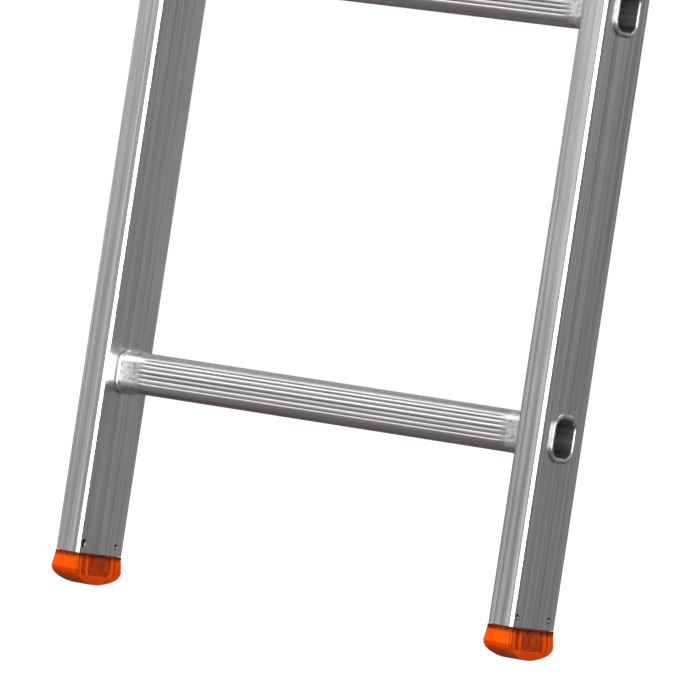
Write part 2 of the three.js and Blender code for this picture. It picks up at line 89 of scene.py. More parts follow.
# A flute's depth at so many half pitches from its middle, of its full depth.
FLUTE_SHAPE = ((0, 1), (0.1, 0.74), (0.3, 0.4), (0.55, 0.15), (0.78, 0.03))
FLUTE_SHADE_REACH = 0.3  # how far from the middle of a flute its painted shade reaches, in half pitches
FLUTE_SHADE = 0.3  # how dark that painted shade is at the flute's middle
FACE_FLUTES_MM = [9.1 - FLUTE_PITCH_MM * i for i in range(6)]  # above a rung's centre, front and back
TOP_FLUTES_MM = [FLUTE_PITCH_MM * i for i in range(-2, 3)]  # from the middle of its top
CORNER_STEPS = 8

# Where a rung meets a rail; lengths along the rung are from the rail's inner face.
FADE_START_MM = 27.0  # the flutes fade out from here
FADE_END_MM = 15.0
PRESS_START_MM = 20.0  # the marks of the swaging tool, with their painted highlight, start here
PRESS_END_MM = 15.0
NECK_START_MM = 18.0  # the rung swells from here to the bead
NECK_PROUD_MM = 0.7
NECK_POWER = 1.7
NECK_STEPS = 12
BEAD_WIDTH_MM = 5.0
BEAD_END_MM = 0.2
BEAD_PROUD_MM = 1.5
BEAD_STEPS = 8
HIDDEN_MM = 0.1  # just past a rail's face, where the rung goes through it
LIP_START_MM = 0.15  # from a rail's outer face
LIP_THICK_MM = 1.95
LIP_PROUD_MM = 2.2
LIP_FLAT = 0.6  # how far it stands out at the front and back, of its height above and below
LIP_SQUARE = 0.8  # below 1 the roll is squarer than an ellipse
LIP_STEPS = 9
LIP_CONTACT = 0.3  # painted contact shadow where it meets the rail
BORE_SHADE = 0.22

CUT_PAST_MM = 2.0  # how far the cutter of a rung's holes reaches past the rail
HOLE_PLAY_MM = 0.3  # between a piece and the hole or the end that it fits

STAKE_HEIGHT_MM = 6.4  # above the end of the rail
STAKE_DEPTHS_MM = (-20, 16)  # from the middle of the rail, front to back
STAKE_RADIUS_MM = 1.8
STAKE_SINK_MM = 1.4
STAKE_STRETCH = 1.25  # along the rail
FRONT_DENT_SCALE = 1.7  # the front mark on the inner face is the larger one

FOOT_EDGE_MM = 9.5  # height of the edge between a foot's skirt and its rounded sole
FOOT_EDGE_BREAK_MM = (0.35, 0.25, 0.2)  # its rounding: inwards, below it and above it
FOOT_LIP_MM = 1.1  # height of the lip against the rail
FOOT_LIP_ROUND_MM = 0.35  # at its top
FOOT_LIP_PROUD_MM = (0.25, 0.3, 0.05)  # past the rail, at the lip's lower edge, side and top
FOOT_LAND_MM = 6.0  # flat on the ground, front to back
FOOT_SIDE_CHAMFER_MM = (6.5, 2.4)  # height and depth, along the sides of the sole
FOOT_SIDE_POWER = 1.4  # above 1 the sides of the sole curve in
FOOT_FULLNESS = 1.2  # height of the sole's half ellipse, of the sole's own height
FOOT_RECESS_MM = 1.1  # between the ribs on the sides of a foot
FOOT_RIBS_MM = (-20.3, -13.2, 14.0, 18.8)  # middles of the ribs, from the middle of the foot
FOOT_RIB_MM = 1.8
FOOT_RIB_SLOPE_MM = 0.3
FOOT_SHADE = 0.6  # painted shade in a foot's recesses
FOOT_LIP_SHADE = 1.5  # how much more painted shade there is just under the metal
FOOT_LIP_REACH_MM = 0.6  # how far below the lip that goes
SOLE_LEVELS_MM = (0.0, 0.25, 0.8, 1.6, 2.6, 3.8, 5.0, 5.8)  # rings below the ribs
RIB_LEVELS_MM = (6.4, 8.0)  # rings of the sole that the ribs cross
SKIRT_STEPS = 4
SKIRT_END_MM = (0.15, 0.5)  # where the skirt ends: past the rail, and below the lip
SOLE_BEVEL = 0.4  # bevel of the sole's narrow rings, of their half depth
PLUG_INSET_MM = RAIL_WALL_MM + HOLE_PLAY_MM  # of the part inside a rail
PLUG_NOSE_MM = (0.8, 1.5)  # width and length of its tapered end
CAP_RIM_MM = ((0, 1.6), (0.25, 0.8), (0.8, 0.25), (1.6, 0))  # (in from the side, down from the end)
CAP_DISH_MM = ((3.4, 0), (3.9, 0.5))  # the same for the shallow dish in its end
CAP_EDGE_MM = (0.3, 0.35)  # the same for the edge against the rail

SHEET_MM = 3.0
BEND_MM = 2.5  # inside radius of a guide's bends
LIP_END_MM = 1.0  # corner radius at the ends of a guide's lips
WEB_END_MM = 1.2
EDGE_MM = 0.4  # broken edges of steel plates
GUIDE_PLAY_MM = 2.6  # between a guide's lip and the rail, where the pad runs
PAD_MM = 2.0
PAD_CORNER_MM = 4.0
PAD_EDGE_MM = 0.5
PEG_MM = 2.6
PEG_SPACING_MM = 36
# A peg's head: (down from its top, radius).
PEG_HEAD_MM = ((1.2, PEG_MM), (1.2, 3.9), (0.7, 4.0), (0.2, 3.4), (0, 2.2))
BUSH_EDGE_MM = 0.4
RIVET_SHANK = 0.5  # of the head's radius, as are the tail's radius and the head's thickness
RIVET_TAIL = 0.8
RIVET_DOME = 0.31
RIVET_TIP_MM = 0.3  # flat in the middle of a head
HOOK_SEAT_MM = -11.7  # bearing face, from the pivot
HOOK_NOSE_MM = 7
HOOK_CUT_MM = 2  # the cuts across the nose's corners
HOOK_BACK_MM = 4  # the larger cut above the nose
HOOK_WEB_MM = 5  # from the pivot down to the plate's edge between the two bearing faces
HOOK_STEP_MM = 4  # from the pivot to each end of that edge
HOOK_BOSS_MM = 10
HOOK_EDGE_MM = 0.6
SPRING_WIRE_MM = 1.4
SPRING_TURNS = 2
SPRING_STEPS = 20

# ------------------------------------------------------------------ colours

RAIL_METAL = ((0.82, 0.82, 0.83), (0.66, 0.66, 0.67), (0.90, 0.83, 0.84))  # light, dark, tint
RUNG_METAL = ((0.86, 0.86, 0.87), (0.70, 0.70, 0.71), (0.90, 0.84, 0.84))
STAIN = (0.54, 0.46, 0.47)
HAMMERED_LOW = (0.55, 0.55, 0.56)  # where the swaging tool pressed a rung's end; the light end, near white, is partly a painted highlight
PRESSED_HIGHLIGHT = (0.98, 0.98, 0.98)
# Painted shade: the grey that the "dark" mark mixes into the aluminium.
PAINTED_SHADE_GREY = (0.11, 0.11, 0.115)
ORANGE_DEEP = (0.98, 0.070, 0.0)
ORANGE_BRIGHT = (1.0, 0.112, 0.0)
ORANGE_DUST = (0.50, 0.20, 0.10)
ORANGE_GLOSS = (1.0, 0.45, 0.14, 1)
FOOT_PAINTED_SHADE = (0.13, 0.015, 0.001)
ZINC = ((0.72, 0.72, 0.70), (0.56, 0.56, 0.55))  # light, dark
RIVET_METAL = ((0.76, 0.76, 0.76), (0.62, 0.62, 0.62))
SPRING_METAL = ((0.42, 0.41, 0.40), (0.28, 0.27, 0.26))
ZINC_HAZE = (0.86, 0.84, 0.74)
NYLON_BLACK = (0.014, 0.014, 0.016)
NYLON_RUBBED = (0.055, 0.055, 0.058)
FLOOR_DARK = 0.30
FLOOR_LIGHT = 0.34

# ------------------------------------------------------------------ studio

CAMERA_TARGET = (0.02408, 0.0015, 0.18197)
CAMERA_DISTANCE = 5.77
CAMERA_AZIMUTH = 36.2007  # degrees from the front towards the right
CAMERA_ELEVATION = -0.1245
CAMERA_ROLL = 8.6703
CAMERA_LENS = 450.55
FLOOR_GLOW = 0.93
FLOOR_HALF = 60  # half its side
ROOM_FRONT = (-0.59, -0.807, 0)  # what the front face of a rail reflects
# (place, brightness) round the room, from 0 opposite ROOM_FRONT to 1 towards it.
ROOM_TURN = [(0.0, 0.28), (0.3, 0.24), (0.6, 0.28), (0.85, 0.42), (1.0, 0.46)]
# The same by height, from 0 straight down, through 0.5 level, to 1 straight up.
ROOM_HEIGHT = [
    (0.0, (0.34, 0.27, 0.28)),
    (0.42, 0.55),
    (0.49, 0.92),
    (0.52, 1.0),
    (0.6, 1.15),
    (0.72, 1.4),
    (0.88, 1.2),
    (1.0, 0.7),
]

# ------------------------------------------------------------------ meshes


def linked(name, data):
    """A new object in the scene for a mesh, curve, light or camera."""
    made = bpy.data.objects.new(name, data)
    bpy.context.collection.objects.link(made)
    return made


def new_object(name, verts, faces):
    mesh = bpy.data.meshes.new(name)
    mesh.from_pydata([tuple(v) for v in verts], [], faces)
    return linked(name, mesh)


def mark(piece, name, values):
    """Stores a number on each vertex, for the material to read."""
    layer = piece.data.attributes.new(name, "FLOAT", "POINT")
    layer.data.foreach_set("value", values)


def tidy(piece, sharp_degrees=32, merge=1e-6):
    """Merges doubles, turns faces outwards and keeps only real corners sharp."""
    edit = bmesh.new()
    edit.from_mesh(piece.data)
    bmesh.ops.remove_doubles(edit, verts=edit.verts, dist=merge)
    bmesh.ops.dissolve_degenerate(edit, edges=edit.edges, dist=merge)
    bmesh.ops.recalc_face_normals(edit, faces=edit.faces)
    limit = math.radians(sharp_degrees)
    for face in edit.faces:
        face.smooth = True
    for edge in edit.edges:
        edge.smooth = len(edge.link_faces) == 2 and edge.calc_face_angle(0) < limit
    edit.to_mesh(piece.data)
    edit.free()
    return piece


def loft(name, rings, closed=False):
    """Joins rings of the same number of points, with flat ends unless the rings close on themselves."""
    count = len(rings[0])
    verts = [p for ring in rings for p in ring]
    faces = []
    for r in range(len(rings) if closed else len(rings) - 1):
        a = r * count
        b = (r + 1) % len(rings) * count
        for i in range(count):
            j = (i + 1) % count
            faces.append((a + i, a + j, b + j, b + i))
    if not closed:
        last = (len(rings) - 1) * count
        faces.append(tuple(reversed(range(count))))
        faces.append(tuple(range(last, last + count)))
    return new_object(name, verts, faces)


def joined(name, pieces):
    """One object from several, with their meshes side by side."""
    edit = bmesh.new()
    for piece in pieces:
        edit.from_mesh(piece.data)
    mesh = bpy.data.meshes.new(name)
    edit.to_mesh(mesh)
    edit.free()
    for piece in pieces:
        bpy.data.objects.remove(piece)
    return linked(name, mesh)


def mirrored(piece):
    """Turns a right-hand piece into a left-hand one."""
    piece.data.transform(Matrix.Diagonal((-1, 1, 1, 1)))
    piece.data.flip_normals()
    return piece


def evaluated(piece):
    """Replaces a piece by the plain mesh that its modifiers or its curve give."""
    bpy.context.view_layer.update()
    live = piece.evaluated_get(bpy.context.evaluated_depsgraph_get())
    mesh = bpy.data.meshes.new_from_object(live)
    name = piece.name
    bpy.data.objects.remove(piece)
    return linked(name, mesh)


def bevelled(piece, width_mm, segments=2, degrees=40):
    modifier = piece.modifiers.new("edges", "BEVEL")
    modifier.width = width_mm * MM
    modifier.segments = segments
    modifier.limit_method = "ANGLE"
    modifier.angle_limit = math.radians(degrees)
    return evaluated(piece)


def rounded_path(points, radius=1, steps=5):
    """A closed outline with its corners rounded; a corner may give its own radius as a third number."""
    out = []
    for i, corner in enumerate(points):
        here = Vector(corner[:2])
        before = Vector(points[i - 1][:2]) - here
        after = Vector(points[(i + 1) % len(points)][:2]) - here
        r = corner[2] if len(corner) > 2 else radius
        half = before.angle(after) / 2
        reach = min(r / math.tan(half), before.length * 0.49, after.length * 0.49)
        start = here + before.normalized() * reach
        end = here + after.normalized() * reach
        for k in range(steps + 1):
            t = k / steps
            out.append(tuple((1 - t) ** 2 * start + 2 * t * (1 - t) * here + t * t * end))
    return out


def lathe_x(name, profile, x, y, z, count=28):
    """Turns a profile of (distance along X, radius) round an axis parallel to X. Millimetres."""
    rings = []
    for along, radius in profile:
        turns = [2 * math.pi * i / count for i in range(count)]
        ring = [(x + along, y + radius * math.cos(t), z + radius * math.sin(t)) for t in turns]
        rings.append([Vector(point) * MM for point in ring])
    return tidy(loft(name, rings))


# ------------------------------------------------------------------ geometry nodes


class Nodes:
    """A node tree, with short calls to add and join its nodes."""

    def __init__(self, tree):
        self.tree = tree

    def node(self, kind, **settings):
        made = self.tree.nodes.new(kind)
        for key, value in settings.items():
            setattr(made, key, value)
        return made

    def link(self, source, target):
        """Joins two sockets, or sets the target to a plain number or an RGB colour."""
        if isinstance(source, bpy.types.NodeSocket):
            self.tree.links.new(source, target)
        else:
            target.default_value = (*source, 1) if isinstance(source, tuple) else source


class Tree(Nodes):
    """A Geometry Nodes tree that takes a mesh and gives a mesh of one material."""

    def __init__(self, name, inputs):
        super().__init__(bpy.data.node_groups.new(name, "GeometryNodeTree"))
        face = self.tree.interface
        face.new_socket("Geometry", in_out="OUTPUT", socket_type="NodeSocketGeometry")
        face.new_socket("Geometry", in_out="INPUT", socket_type="NodeSocketGeometry")
        self.ids = {}
        for label, kind in (*inputs, ("Material", "Material")):
            made = face.new_socket(label, in_out="INPUT", socket_type="NodeSocket" + kind)
            self.ids[label] = made.identifier
        self.start = self.node("NodeGroupInput")

    def given(self, label):
        return self.start.outputs[label]

    def row(self, instance):
        """Copies upwards, by the tree's inputs Count and Pitch."""
        offset = self.node("ShaderNodeCombineXYZ")
        line = self.node("GeometryNodeMeshLine", mode="OFFSET")
        copies = self.node("GeometryNodeInstanceOnPoints")
        self.link(self.given("Pitch"), offset.inputs["Z"])
        self.link(self.given("Count"), line.inputs["Count"])
        self.link(offset.outputs[0], line.inputs["Offset"])
        self.link(line.outputs["Mesh"], copies.inputs["Points"])
        self.link(instance, copies.inputs["Instance"])
        return copies.outputs["Instances"]

    def end(self, geometry):
        real = self.node("GeometryNodeRealizeInstances")
        paint = self.node("GeometryNodeSetMaterial")
        out = self.node("NodeGroupOutput")
        self.link(geometry, real.inputs["Geometry"])
        self.link(real.outputs[0], paint.inputs["Geometry"])
        self.link(self.given("Material"), paint.inputs["Material"])
        self.link(paint.outputs[0], out.inputs["Geometry"])
        return self

    def run(self, piece, **values):
        """Applies the tree to a piece; an input's words are joined by underscores."""
        modifier = piece.modifiers.new("nodes", "NODES")
        modifier.node_group = self.tree
        for label, value in values.items():
            modifier[self.ids[label.replace("_", " ")]] = value
        return evaluated(piece)


def row_tree():
    """Copies a piece upwards at an even pitch."""
    tree = Tree("row_of_rungs", [("Count", "Int"), ("Pitch", "Float")])
    return tree.end(tree.row(tree.given("Geometry")))


def drilled_tree():
    """Cuts a row of holes at an even pitch, and once each of the marks at the rail's ends."""
    tree = Tree(
        "drilled_rail",
        [("Cutter", "Object"), ("Marks", "Object"), ("Count", "Int"), ("Pitch", "Float")],
    )
    cutter = tree.node("GeometryNodeObjectInfo")
    marks = tree.node("GeometryNodeObjectInfo")
    cut = tree.node("GeometryNodeMeshBoolean", operation="DIFFERENCE", solver="EXACT")
    tree.link(tree.given("Cutter"), cutter.inputs["Object"])
    tree.link(tree.given("Marks"), marks.inputs["Object"])
    tree.link(tree.given("Geometry"), cut.inputs["Mesh 1"])
    tree.link(tree.row(cutter.outputs["Geometry"]), cut.inputs["Mesh 2"])
    tree.link(marks.outputs["Geometry"], cut.inputs["Mesh 2"])
    return tree.end(cut.outputs["Mesh"])


def scattered_tree():
    """Puts a copy of a piece on each point, half a turn round for the left side."""
    tree = Tree("rivets", [("Rivet", "Object")])
    rivet = tree.node("GeometryNodeObjectInfo")
    place = tree.node("GeometryNodeInputPosition")
    parts = tree.node("ShaderNodeSeparateXYZ")
    left = tree.node("ShaderNodeMath", operation="LESS_THAN")
    turn = tree.node("ShaderNodeMath", operation="MULTIPLY")
    euler = tree.node("ShaderNodeCombineXYZ")
    copies = tree.node("GeometryNodeInstanceOnPoints")
    tree.link(0, left.inputs[1])
    tree.link(math.pi, turn.inputs[1])
    tree.link(tree.given("Rivet"), rivet.inputs["Object"])
    tree.link(place.outputs[0], parts.inputs[0])
    tree.link(parts.outputs["X"], left.inputs[0])
    tree.link(left.outputs[0], turn.inputs[0])
    tree.link(turn.outputs[0], euler.inputs["Z"])
    tree.link(euler.outputs[0], copies.inputs["Rotation"])
    tree.link(tree.given("Geometry"), copies.inputs["Points"])
    tree.link(rivet.outputs["Geometry"], copies.inputs["Instance"])
    return tree.end(copies.outputs["Instances"])


def wire_tree():
    """Sweeps a round wire along a path."""
    tree = Tree("spring_wire", [("Wire radius", "Float"), ("Sides", "Int")])
    section = tree.node("GeometryNodeCurvePrimitiveCircle", mode="RADIUS")
    sweep = tree.node("GeometryNodeCurveToMesh")
    tree.link(True, sweep.inputs["Fill Caps"])
    tree.link(tree.given("Sides"), section.inputs["Resolution"])
    tree.link(tree.given("Wire radius"), section.inputs["Radius"])
    tree.link(tree.given("Geometry"), sweep.inputs["Curve"])
    tree.link(section.outputs["Curve"], sweep.inputs["Profile Curve"])
    return tree.end(sweep.outputs["Mesh"])


# ------------------------------------------------------------------ materials


class Shading(Nodes):
    """Short calls for the nodes of a material or of the world."""

    def ramp(self, value, *stops, interpolation="LINEAR"):
        """Turns a value into a colour through stops of (place, colour or grey)."""
        made = self.node("ShaderNodeValToRGB")
        made.color_ramp.interpolation = interpolation
        points = made.color_ramp.elements
        while len(points) < len(stops):
            points.new(0.5)
        for point, (place, colour) in zip(points, stops):
            point.position = place
            point.color = (*colour, 1) if isinstance(colour, tuple) else (colour, colour, colour, 1)
        self.link(value, made.inputs[0])
        return made.outputs["Color"]

    def spread(self, value, low, high, start=0.3, stop=0.7):
        """Turns a value between start and stop into one between low and high."""
        made = self.node("ShaderNodeMapRange")
        labels = ("Value", "From Min", "From Max", "To Min", "To Max")
        for label, number in zip(labels, (value, start, stop, low, high)):
            self.link(number, made.inputs[label])
        return made.outputs[0]

    def math(self, operation, *values):
        made = self.node("ShaderNodeMath", operation=operation)
        for socket, value in zip(made.inputs, values):
            self.link(value, socket)
        return made.outputs[0]

    def blend(self, factor, a, b, mode="MIX"):
        made = self.node("ShaderNodeMix", data_type="RGBA", blend_type=mode)
        for label, value in (("Factor", factor), ("A", a), ("B", b)):
            self.link(value, [s for s in made.inputs if s.name == label and s.enabled][0])
        return [s for s in made.outputs if s.enabled][0]


class Paint(Shading):
    """A material on a Principled shader, in the object's own coordinates."""

    def __init__(self, name, **sockets):
        self.material = bpy.data.materials.new(name)
        self.material.use_nodes = True
        super().__init__(self.material.node_tree)
        self.shader = self.tree.nodes["Principled BSDF"]
        for label, value in sockets.items():
            self.shader.inputs[label.replace("_", " ")].default_value = value
        self.coords = self.node("ShaderNodeTexCoord").outputs["Object"]

    def noise(self, stretch, detail=3.0, roughness=0.5, distortion=0.0):
        """Noise with so many grains per metre along each axis, from 0 to 1."""
        mapping = self.node("ShaderNodeMapping")
        mapping.inputs["Scale"].default_value = stretch
        texture = self.node("ShaderNodeTexNoise")
        labels = ("Scale", "Detail", "Roughness", "Distortion")
        for label, value in zip(labels, (1.0, detail, roughness, distortion)):
            texture.inputs[label].default_value = value
        self.link(self.coords, mapping.inputs["Vector"])
        self.link(mapping.outputs[0], texture.inputs["Vector"])
        return texture.outputs["Fac"]

    def marked(self, name):
        return self.node("ShaderNodeAttribute", attribute_name=name).outputs["Fac"]

    def bump(self, height, depth_mm, strength=1.0):
        made = self.node("ShaderNodeBump")
        made.inputs["Distance"].default_value = depth_mm * MM
        made.inputs["Strength"].default_value = strength
        self.link(height, made.inputs["Height"])
        self.set("Normal", made.outputs[0])

    def set(self, label, value):
        self.link(value, self.shader.inputs[label])


def drawn_aluminium(name, along, light, dark, tint, roughness):
    """Bare extruded aluminium with fine die lines along one axis and stains."""
    paint = Paint(name, Metallic=1.0)

    def grain(across, lengthwise):
        return tuple(lengthwise if axis == along else across for axis in "XYZ")

    def times(a, b):
        return paint.math("MULTIPLY", a, b)

    fine = paint.noise(grain(900, 12), detail=4, roughness=0.7)
    broad = paint.noise(grain(300, 1.5))
    bands = paint.noise(grain(150, 0.7))
    cloud = paint.noise(grain(26, 5), detail=4, roughness=0.6)
    stain = paint.noise(grain(13, 3.5), detail=5, roughness=0.7, distortion=0.6)
    speck = paint.noise((900, 900, 900))
    mottle = paint.noise((260, 420, 420), detail=4, roughness=0.65)
    lines = paint.math("ADD", times(fine, 0.6), times(broad, 0.4))
    bright = tuple(c * 1.1 for c in light)
    colour = paint.ramp(lines, (0.40, dark), (0.5, light), (0.60, bright))
    colour = paint.blend(1.0, colour, paint.ramp(bands, (0.38, 0.70), (0.60, 1.0)), "MULTIPLY")
    colour = paint.blend(paint.spread(cloud, 0, 0.5), colour, tint, "MULTIPLY")
    colour = paint.blend(paint.spread(stain, 0, 0.4, 0.53, 0.70), colour, STAIN)
    # Hammer marks where a rung's end was swaged, their near-white colour partly a painted highlight.
    pressed = paint.marked("pressed")
    hammered_and_highlight = paint.ramp(mottle, (0.38, HAMMERED_LOW), (0.52, PRESSED_HIGHLIGHT))
    colour = paint.blend(pressed, colour, hammered_and_highlight)
    # Painted shade from the "dark" mark: in the flutes, the bore, where the lip meets the rail, in the
    # stake marks and inside the rails.
    colour = paint.blend(paint.marked("dark"), colour, PAINTED_SHADE_GREY)
    paint.set("Base Color", colour)
    rough = paint.math("ADD", paint.spread(lines, -0.05, 0.05), paint.spread(cloud, -0.03, 0.05))
    paint.set("Roughness", paint.math("ADD", rough, roughness))
    relief = paint.math("ADD", lines, times(speck, 0.25))
    dents = times(times(mottle, pressed), 6.0)
    paint.bump(paint.math("ADD", relief, dents), 0.05, 0.35)
    return paint.material


def moulded_orange():
    """Moulded plastic with a fine texture, a little dust, and painted shade in its recesses and under the
    rail.
    """
    paint = Paint("orange_plastic", Specular_IOR_Level=0.25, Specular_Tint=ORANGE_GLOSS)
    mottle = paint.noise((90, 90, 90), detail=4)
    texture = paint.noise((1700, 1700, 1700), detail=2)
    dust = paint.noise((240, 240, 60), detail=5, roughness=0.7)
    uneven = paint.noise((420, 420, 200), detail=4, roughness=0.7)
    colour = paint.ramp(mottle, (0.35, ORANGE_DEEP), (0.65, ORANGE_BRIGHT))
    colour = paint.blend(paint.spread(dust, 0, 0.08, 0.55, 0.75), colour, ORANGE_DUST)
    # Painted shade in the recesses and under the rail, made uneven.
    painted_shade = paint.math("MULTIPLY", paint.marked("dark"), paint.spread(uneven, 0.6, 1.5))
    paint.set("Base Color", paint.blend(painted_shade, colour, FOOT_PAINTED_SHADE))
    paint.set("Roughness", paint.spread(dust, 0.28, 0.44))
    paint.bump(paint.math("ADD", texture, paint.math("MULTIPLY", mottle, 2.0)), 0.06, 0.5)
    return paint.material


def zinc_plate(name, light, dark, roughness):
    """Plated steel: a soft spangle with slight rolling marks."""
    paint = Paint(name, Metallic=1.0)
    spangle = paint.noise((180, 180, 120), detail=5, roughness=0.65)
    haze = paint.noise((35, 35, 35))
    colour = paint.ramp(spangle, (0.35, dark), (0.65, light))
    colour = paint.blend(paint.spread(haze, 0, 0.22), colour, ZINC_HAZE, "MULTIPLY")
    paint.set("Base Color", colour)
    paint.set("Roughness", paint.spread(spangle, roughness - 0.06, roughness + 0.1))
    paint.bump(spangle, 0.08, 0.4)
    return paint.material


def black_nylon():
    """Nylon that is rubbed paler along the ladder."""
    paint = Paint("glide_plastic")
    rub = paint.noise((300, 300, 25), detail=5, roughness=0.7)
    grit = paint.noise((1400, 1400, 1400), detail=2)
    paint.set("Base Color", paint.ramp(rub, (0.40, NYLON_BLACK), (0.72, NYLON_RUBBED)))
    paint.set("Roughness", paint.spread(rub, 0.42, 0.62))
    paint.bump(grit, 0.05, 0.5)
    return paint.material


# ------------------------------------------------------------------ what the frame gives


def box_mm(node):
    low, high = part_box(node)
    return Vector(low) / MM, Vector(high) / MM


def middle_mm(node):
    low, high = box_mm(node)
    return (low + high) / 2


class Section:
    """One section of the ladder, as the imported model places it."""

    def __init__(self, name):
        self.name = name
        self.rail_low, self.rail_high = box_mm(f"{name}_rail_right")
        self.centre = (self.rail_low + self.rail_high) / 2
        self.half = (self.rail_high - self.rail_low) / 2
        self.rungs = [middle_mm(f"{name}_rung_{i}").z for i in range(1, 8)]
        self.pitch = self.rungs[1] - self.rungs[0]


SECTIONS = (Section("base"), Section("fly"))
BASE, FLY = SECTIONS
SIDES = ("left", "right")


def hand(piece, side):
    """A right-hand piece, or its mirror image for the left side."""
    return mirrored(piece) if side == "left" else piece


def hand_in(piece, body, slot, *nodes):
    """Makes a finished piece stand for CAD nodes and move with their body."""
    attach(piece, body)
    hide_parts(*nodes)


def painted(piece, material):
    piece.data.materials.clear()
    piece.data.materials.append(material)
    return piece


# ------------------------------------------------------------------ rails


def rail_outline(half):
    """A rail's section, from its middle, the outside of the ladder at +X. Millimetres."""
    x, y, bevel, ease = half.x, half.y, RAIL_BEVEL_MM, RAIL_BREAK_MM
    along = ease * 0.7  # the same length measured along the bevel
    width, depth = RAIL_GROOVE_MM
    points = []
    corner = [(-bevel - ease, 0), (-bevel + along, along), (-along, bevel - along), (0, bevel + ease)]

    def add_corner(turns):
        turn = Matrix.Rotation(math.radians(90 * turns), 2)
        base = Vector(((x, -y), (x, y), (-x, y), (-x, -y))[turns])
        points.extend(tuple(base + turn @ Vector(p)) for p in corner)

    for place in RAIL_GROOVES:
        at = -x + 2 * x * place
        points += [(at - width / 2, -y), (at - width / 5, -y + depth)]
        points += [(at + width / 5, -y + depth), (at + width / 2, -y)]
    add_corner(0)
    add_corner(1)
    add_corner(2)
    # The inner face, from back to front: a shallow panel with ribs left standing in it.
    start, stop = (-y + 2 * y * p for p in RAIL_PANEL)
    sunk = -x + RAIL_PANEL_MM
    slope = RAIL_SLOPE_MM
    points += [(-x, stop + slope), (sunk, stop)]
    for place in reversed(RAIL_RIBS):
        at = -y + 2 * y * place
        rib = RAIL_RIB_MM / 2
        points += [(sunk, at + rib + slope), (-x, at + rib), (-x, at - rib), (sunk, at - rib - slope)]
    points += [(sunk, start), (-x, start - slope)]
    add_corner(3)
    return points


def rail_tube(section, name):
    """An open box-section tube, before its holes are cut."""
    outline = rail_outline(section.half)
    inner_x = 1 - RAIL_WALL_MM / section.half.x
    inner_y = 1 - RAIL_WALL_MM / section.half.y
    cx, cy = section.centre.x, section.centre.y

    def ring(z, sx, sy):
        return [((cx + sx * x) * MM, (cy + sy * y) * MM, z * MM) for x, y in outline]

    low, high = section.rail_low.z, section.rail_high.z
    outside = [ring(low, 1, 1), ring(high, 1, 1)]
    inside = [ring(high, inner_x, inner_y), ring(low, inner_x, inner_y)]
    tube = loft(name, outside + inside, closed=True)
    mark(tube, "dark", [0.0] * len(tube.data.vertices))
    return tidy(tube, merge=1e-7)


def stake(x, y, z, scale, outward):
    """The ball that presses one stake mark into a rail's side."""
    radius = STAKE_RADIUS_MM * scale
    ball = bmesh.new()
    bmesh.ops.create_uvsphere(ball, u_segments=20, v_segments=12, radius=radius * MM)
    mesh = bpy.data.meshes.new("stake")
    ball.to_mesh(mesh)
    ball.free()
    shift = outward * (radius - STAKE_SINK_MM)
    mesh.transform(Matrix.Diagonal((1, 1, STAKE_STRETCH, 1)))
    mesh.transform(Matrix.Translation(Vector((x + shift, y, z)) * MM))
    made = linked("stake", mesh)
    # Painted shade: the whole stake mark is dark.
    mark(made, "dark", [1.0] * len(mesh.vertices))
    return made


def stake_marks(section):
    """Marks punched through both sides of each rail end, which hold the foot and the cap."""
    marks = []
    ends = (section.rail_low.z + STAKE_HEIGHT_MM, section.rail_high.z - STAKE_HEIGHT_MM)
    for z in ends:
        for depth in STAKE_DEPTHS_MM:
            y = section.centre.y + depth
            big = FRONT_DENT_SCALE if depth < 0 else 1.0
            marks.append(stake(section.rail_high.x, y, z, 1.0, 1))
            marks.append(stake(section.rail_low.x, y, z, big, -1))
    return joined("stake_marks", marks)


def rung_cutter(section):
    """The shape of a rung's hole in both sides of a rail, at the lowest rung."""
    reach = section.half.x + CUT_PAST_MM
    ends = (section.centre.x - reach, section.centre.x + reach)
    return tidy(loft("rung_cutter", [rung_ring(x, section, HOLE_PLAY_MM, 0) for x in ends]))


def make_rails(drilled, material):
    for section in SECTIONS:
        cutter = rung_cutter(section)
        marks = stake_marks(section)
        for side in SIDES:
            node = f"{section.name}_rail_{side}"
            rail = drilled.run(
                rail_tube(section, f"{node}_drawn"),
                Cutter=cutter,
                Marks=marks,
                Count=len(section.rungs),
                Pitch=section.pitch * MM,
                Material=material,
            )
            rail = hand(tidy(rail, sharp_degrees=15, merge=5e-6), side)
            hand_in(rail, section.name, "rail_aluminium", node)
        bpy.data.objects.remove(cutter)
        bpy.data.objects.remove(marks)


# ------------------------------------------------------------------ rungs


def perimeter(r):
    """The length round a rung's section with corners of this radius."""
    return 2 * sum(RUNG_SIZE_MM) - 8 * r + 2 * math.pi * r


def perimeter_point(s, r=RUNG_CORNER_MM):
    """The point and outward normal at a length s round a rung's section, in millimetres. s is 0 at
    the middle of the front face and grows upwards; with a corner other than a rung's own, s is
    still measured round the rung's own section."""
    half_y, half_z = RUNG_SIZE_MM[0] / 2 - r, RUNG_SIZE_MM[1] / 2 - r
    arc = r * math.pi / 2
    s = s * perimeter(r) / perimeter(RUNG_CORNER_MM) % perimeter(r)
    place, way = Vector((-half_y - r, 0)), Vector((0, 1))
    for flat in (half_z, 2 * half_y, 2 * half_z, 2 * half_y, half_z):
        normal = Vector((-way.y, way.x))
        if s <= flat:
            break
        s -= flat
        centre = place + way * flat - normal * r
        if s <= arc:
            normal = Matrix.Rotation(-s / r, 2) @ normal
            return centre + normal * r, normal
        s -= arc
        place = centre + way * r
        way = -normal
    return place + way * min(s, flat), normal


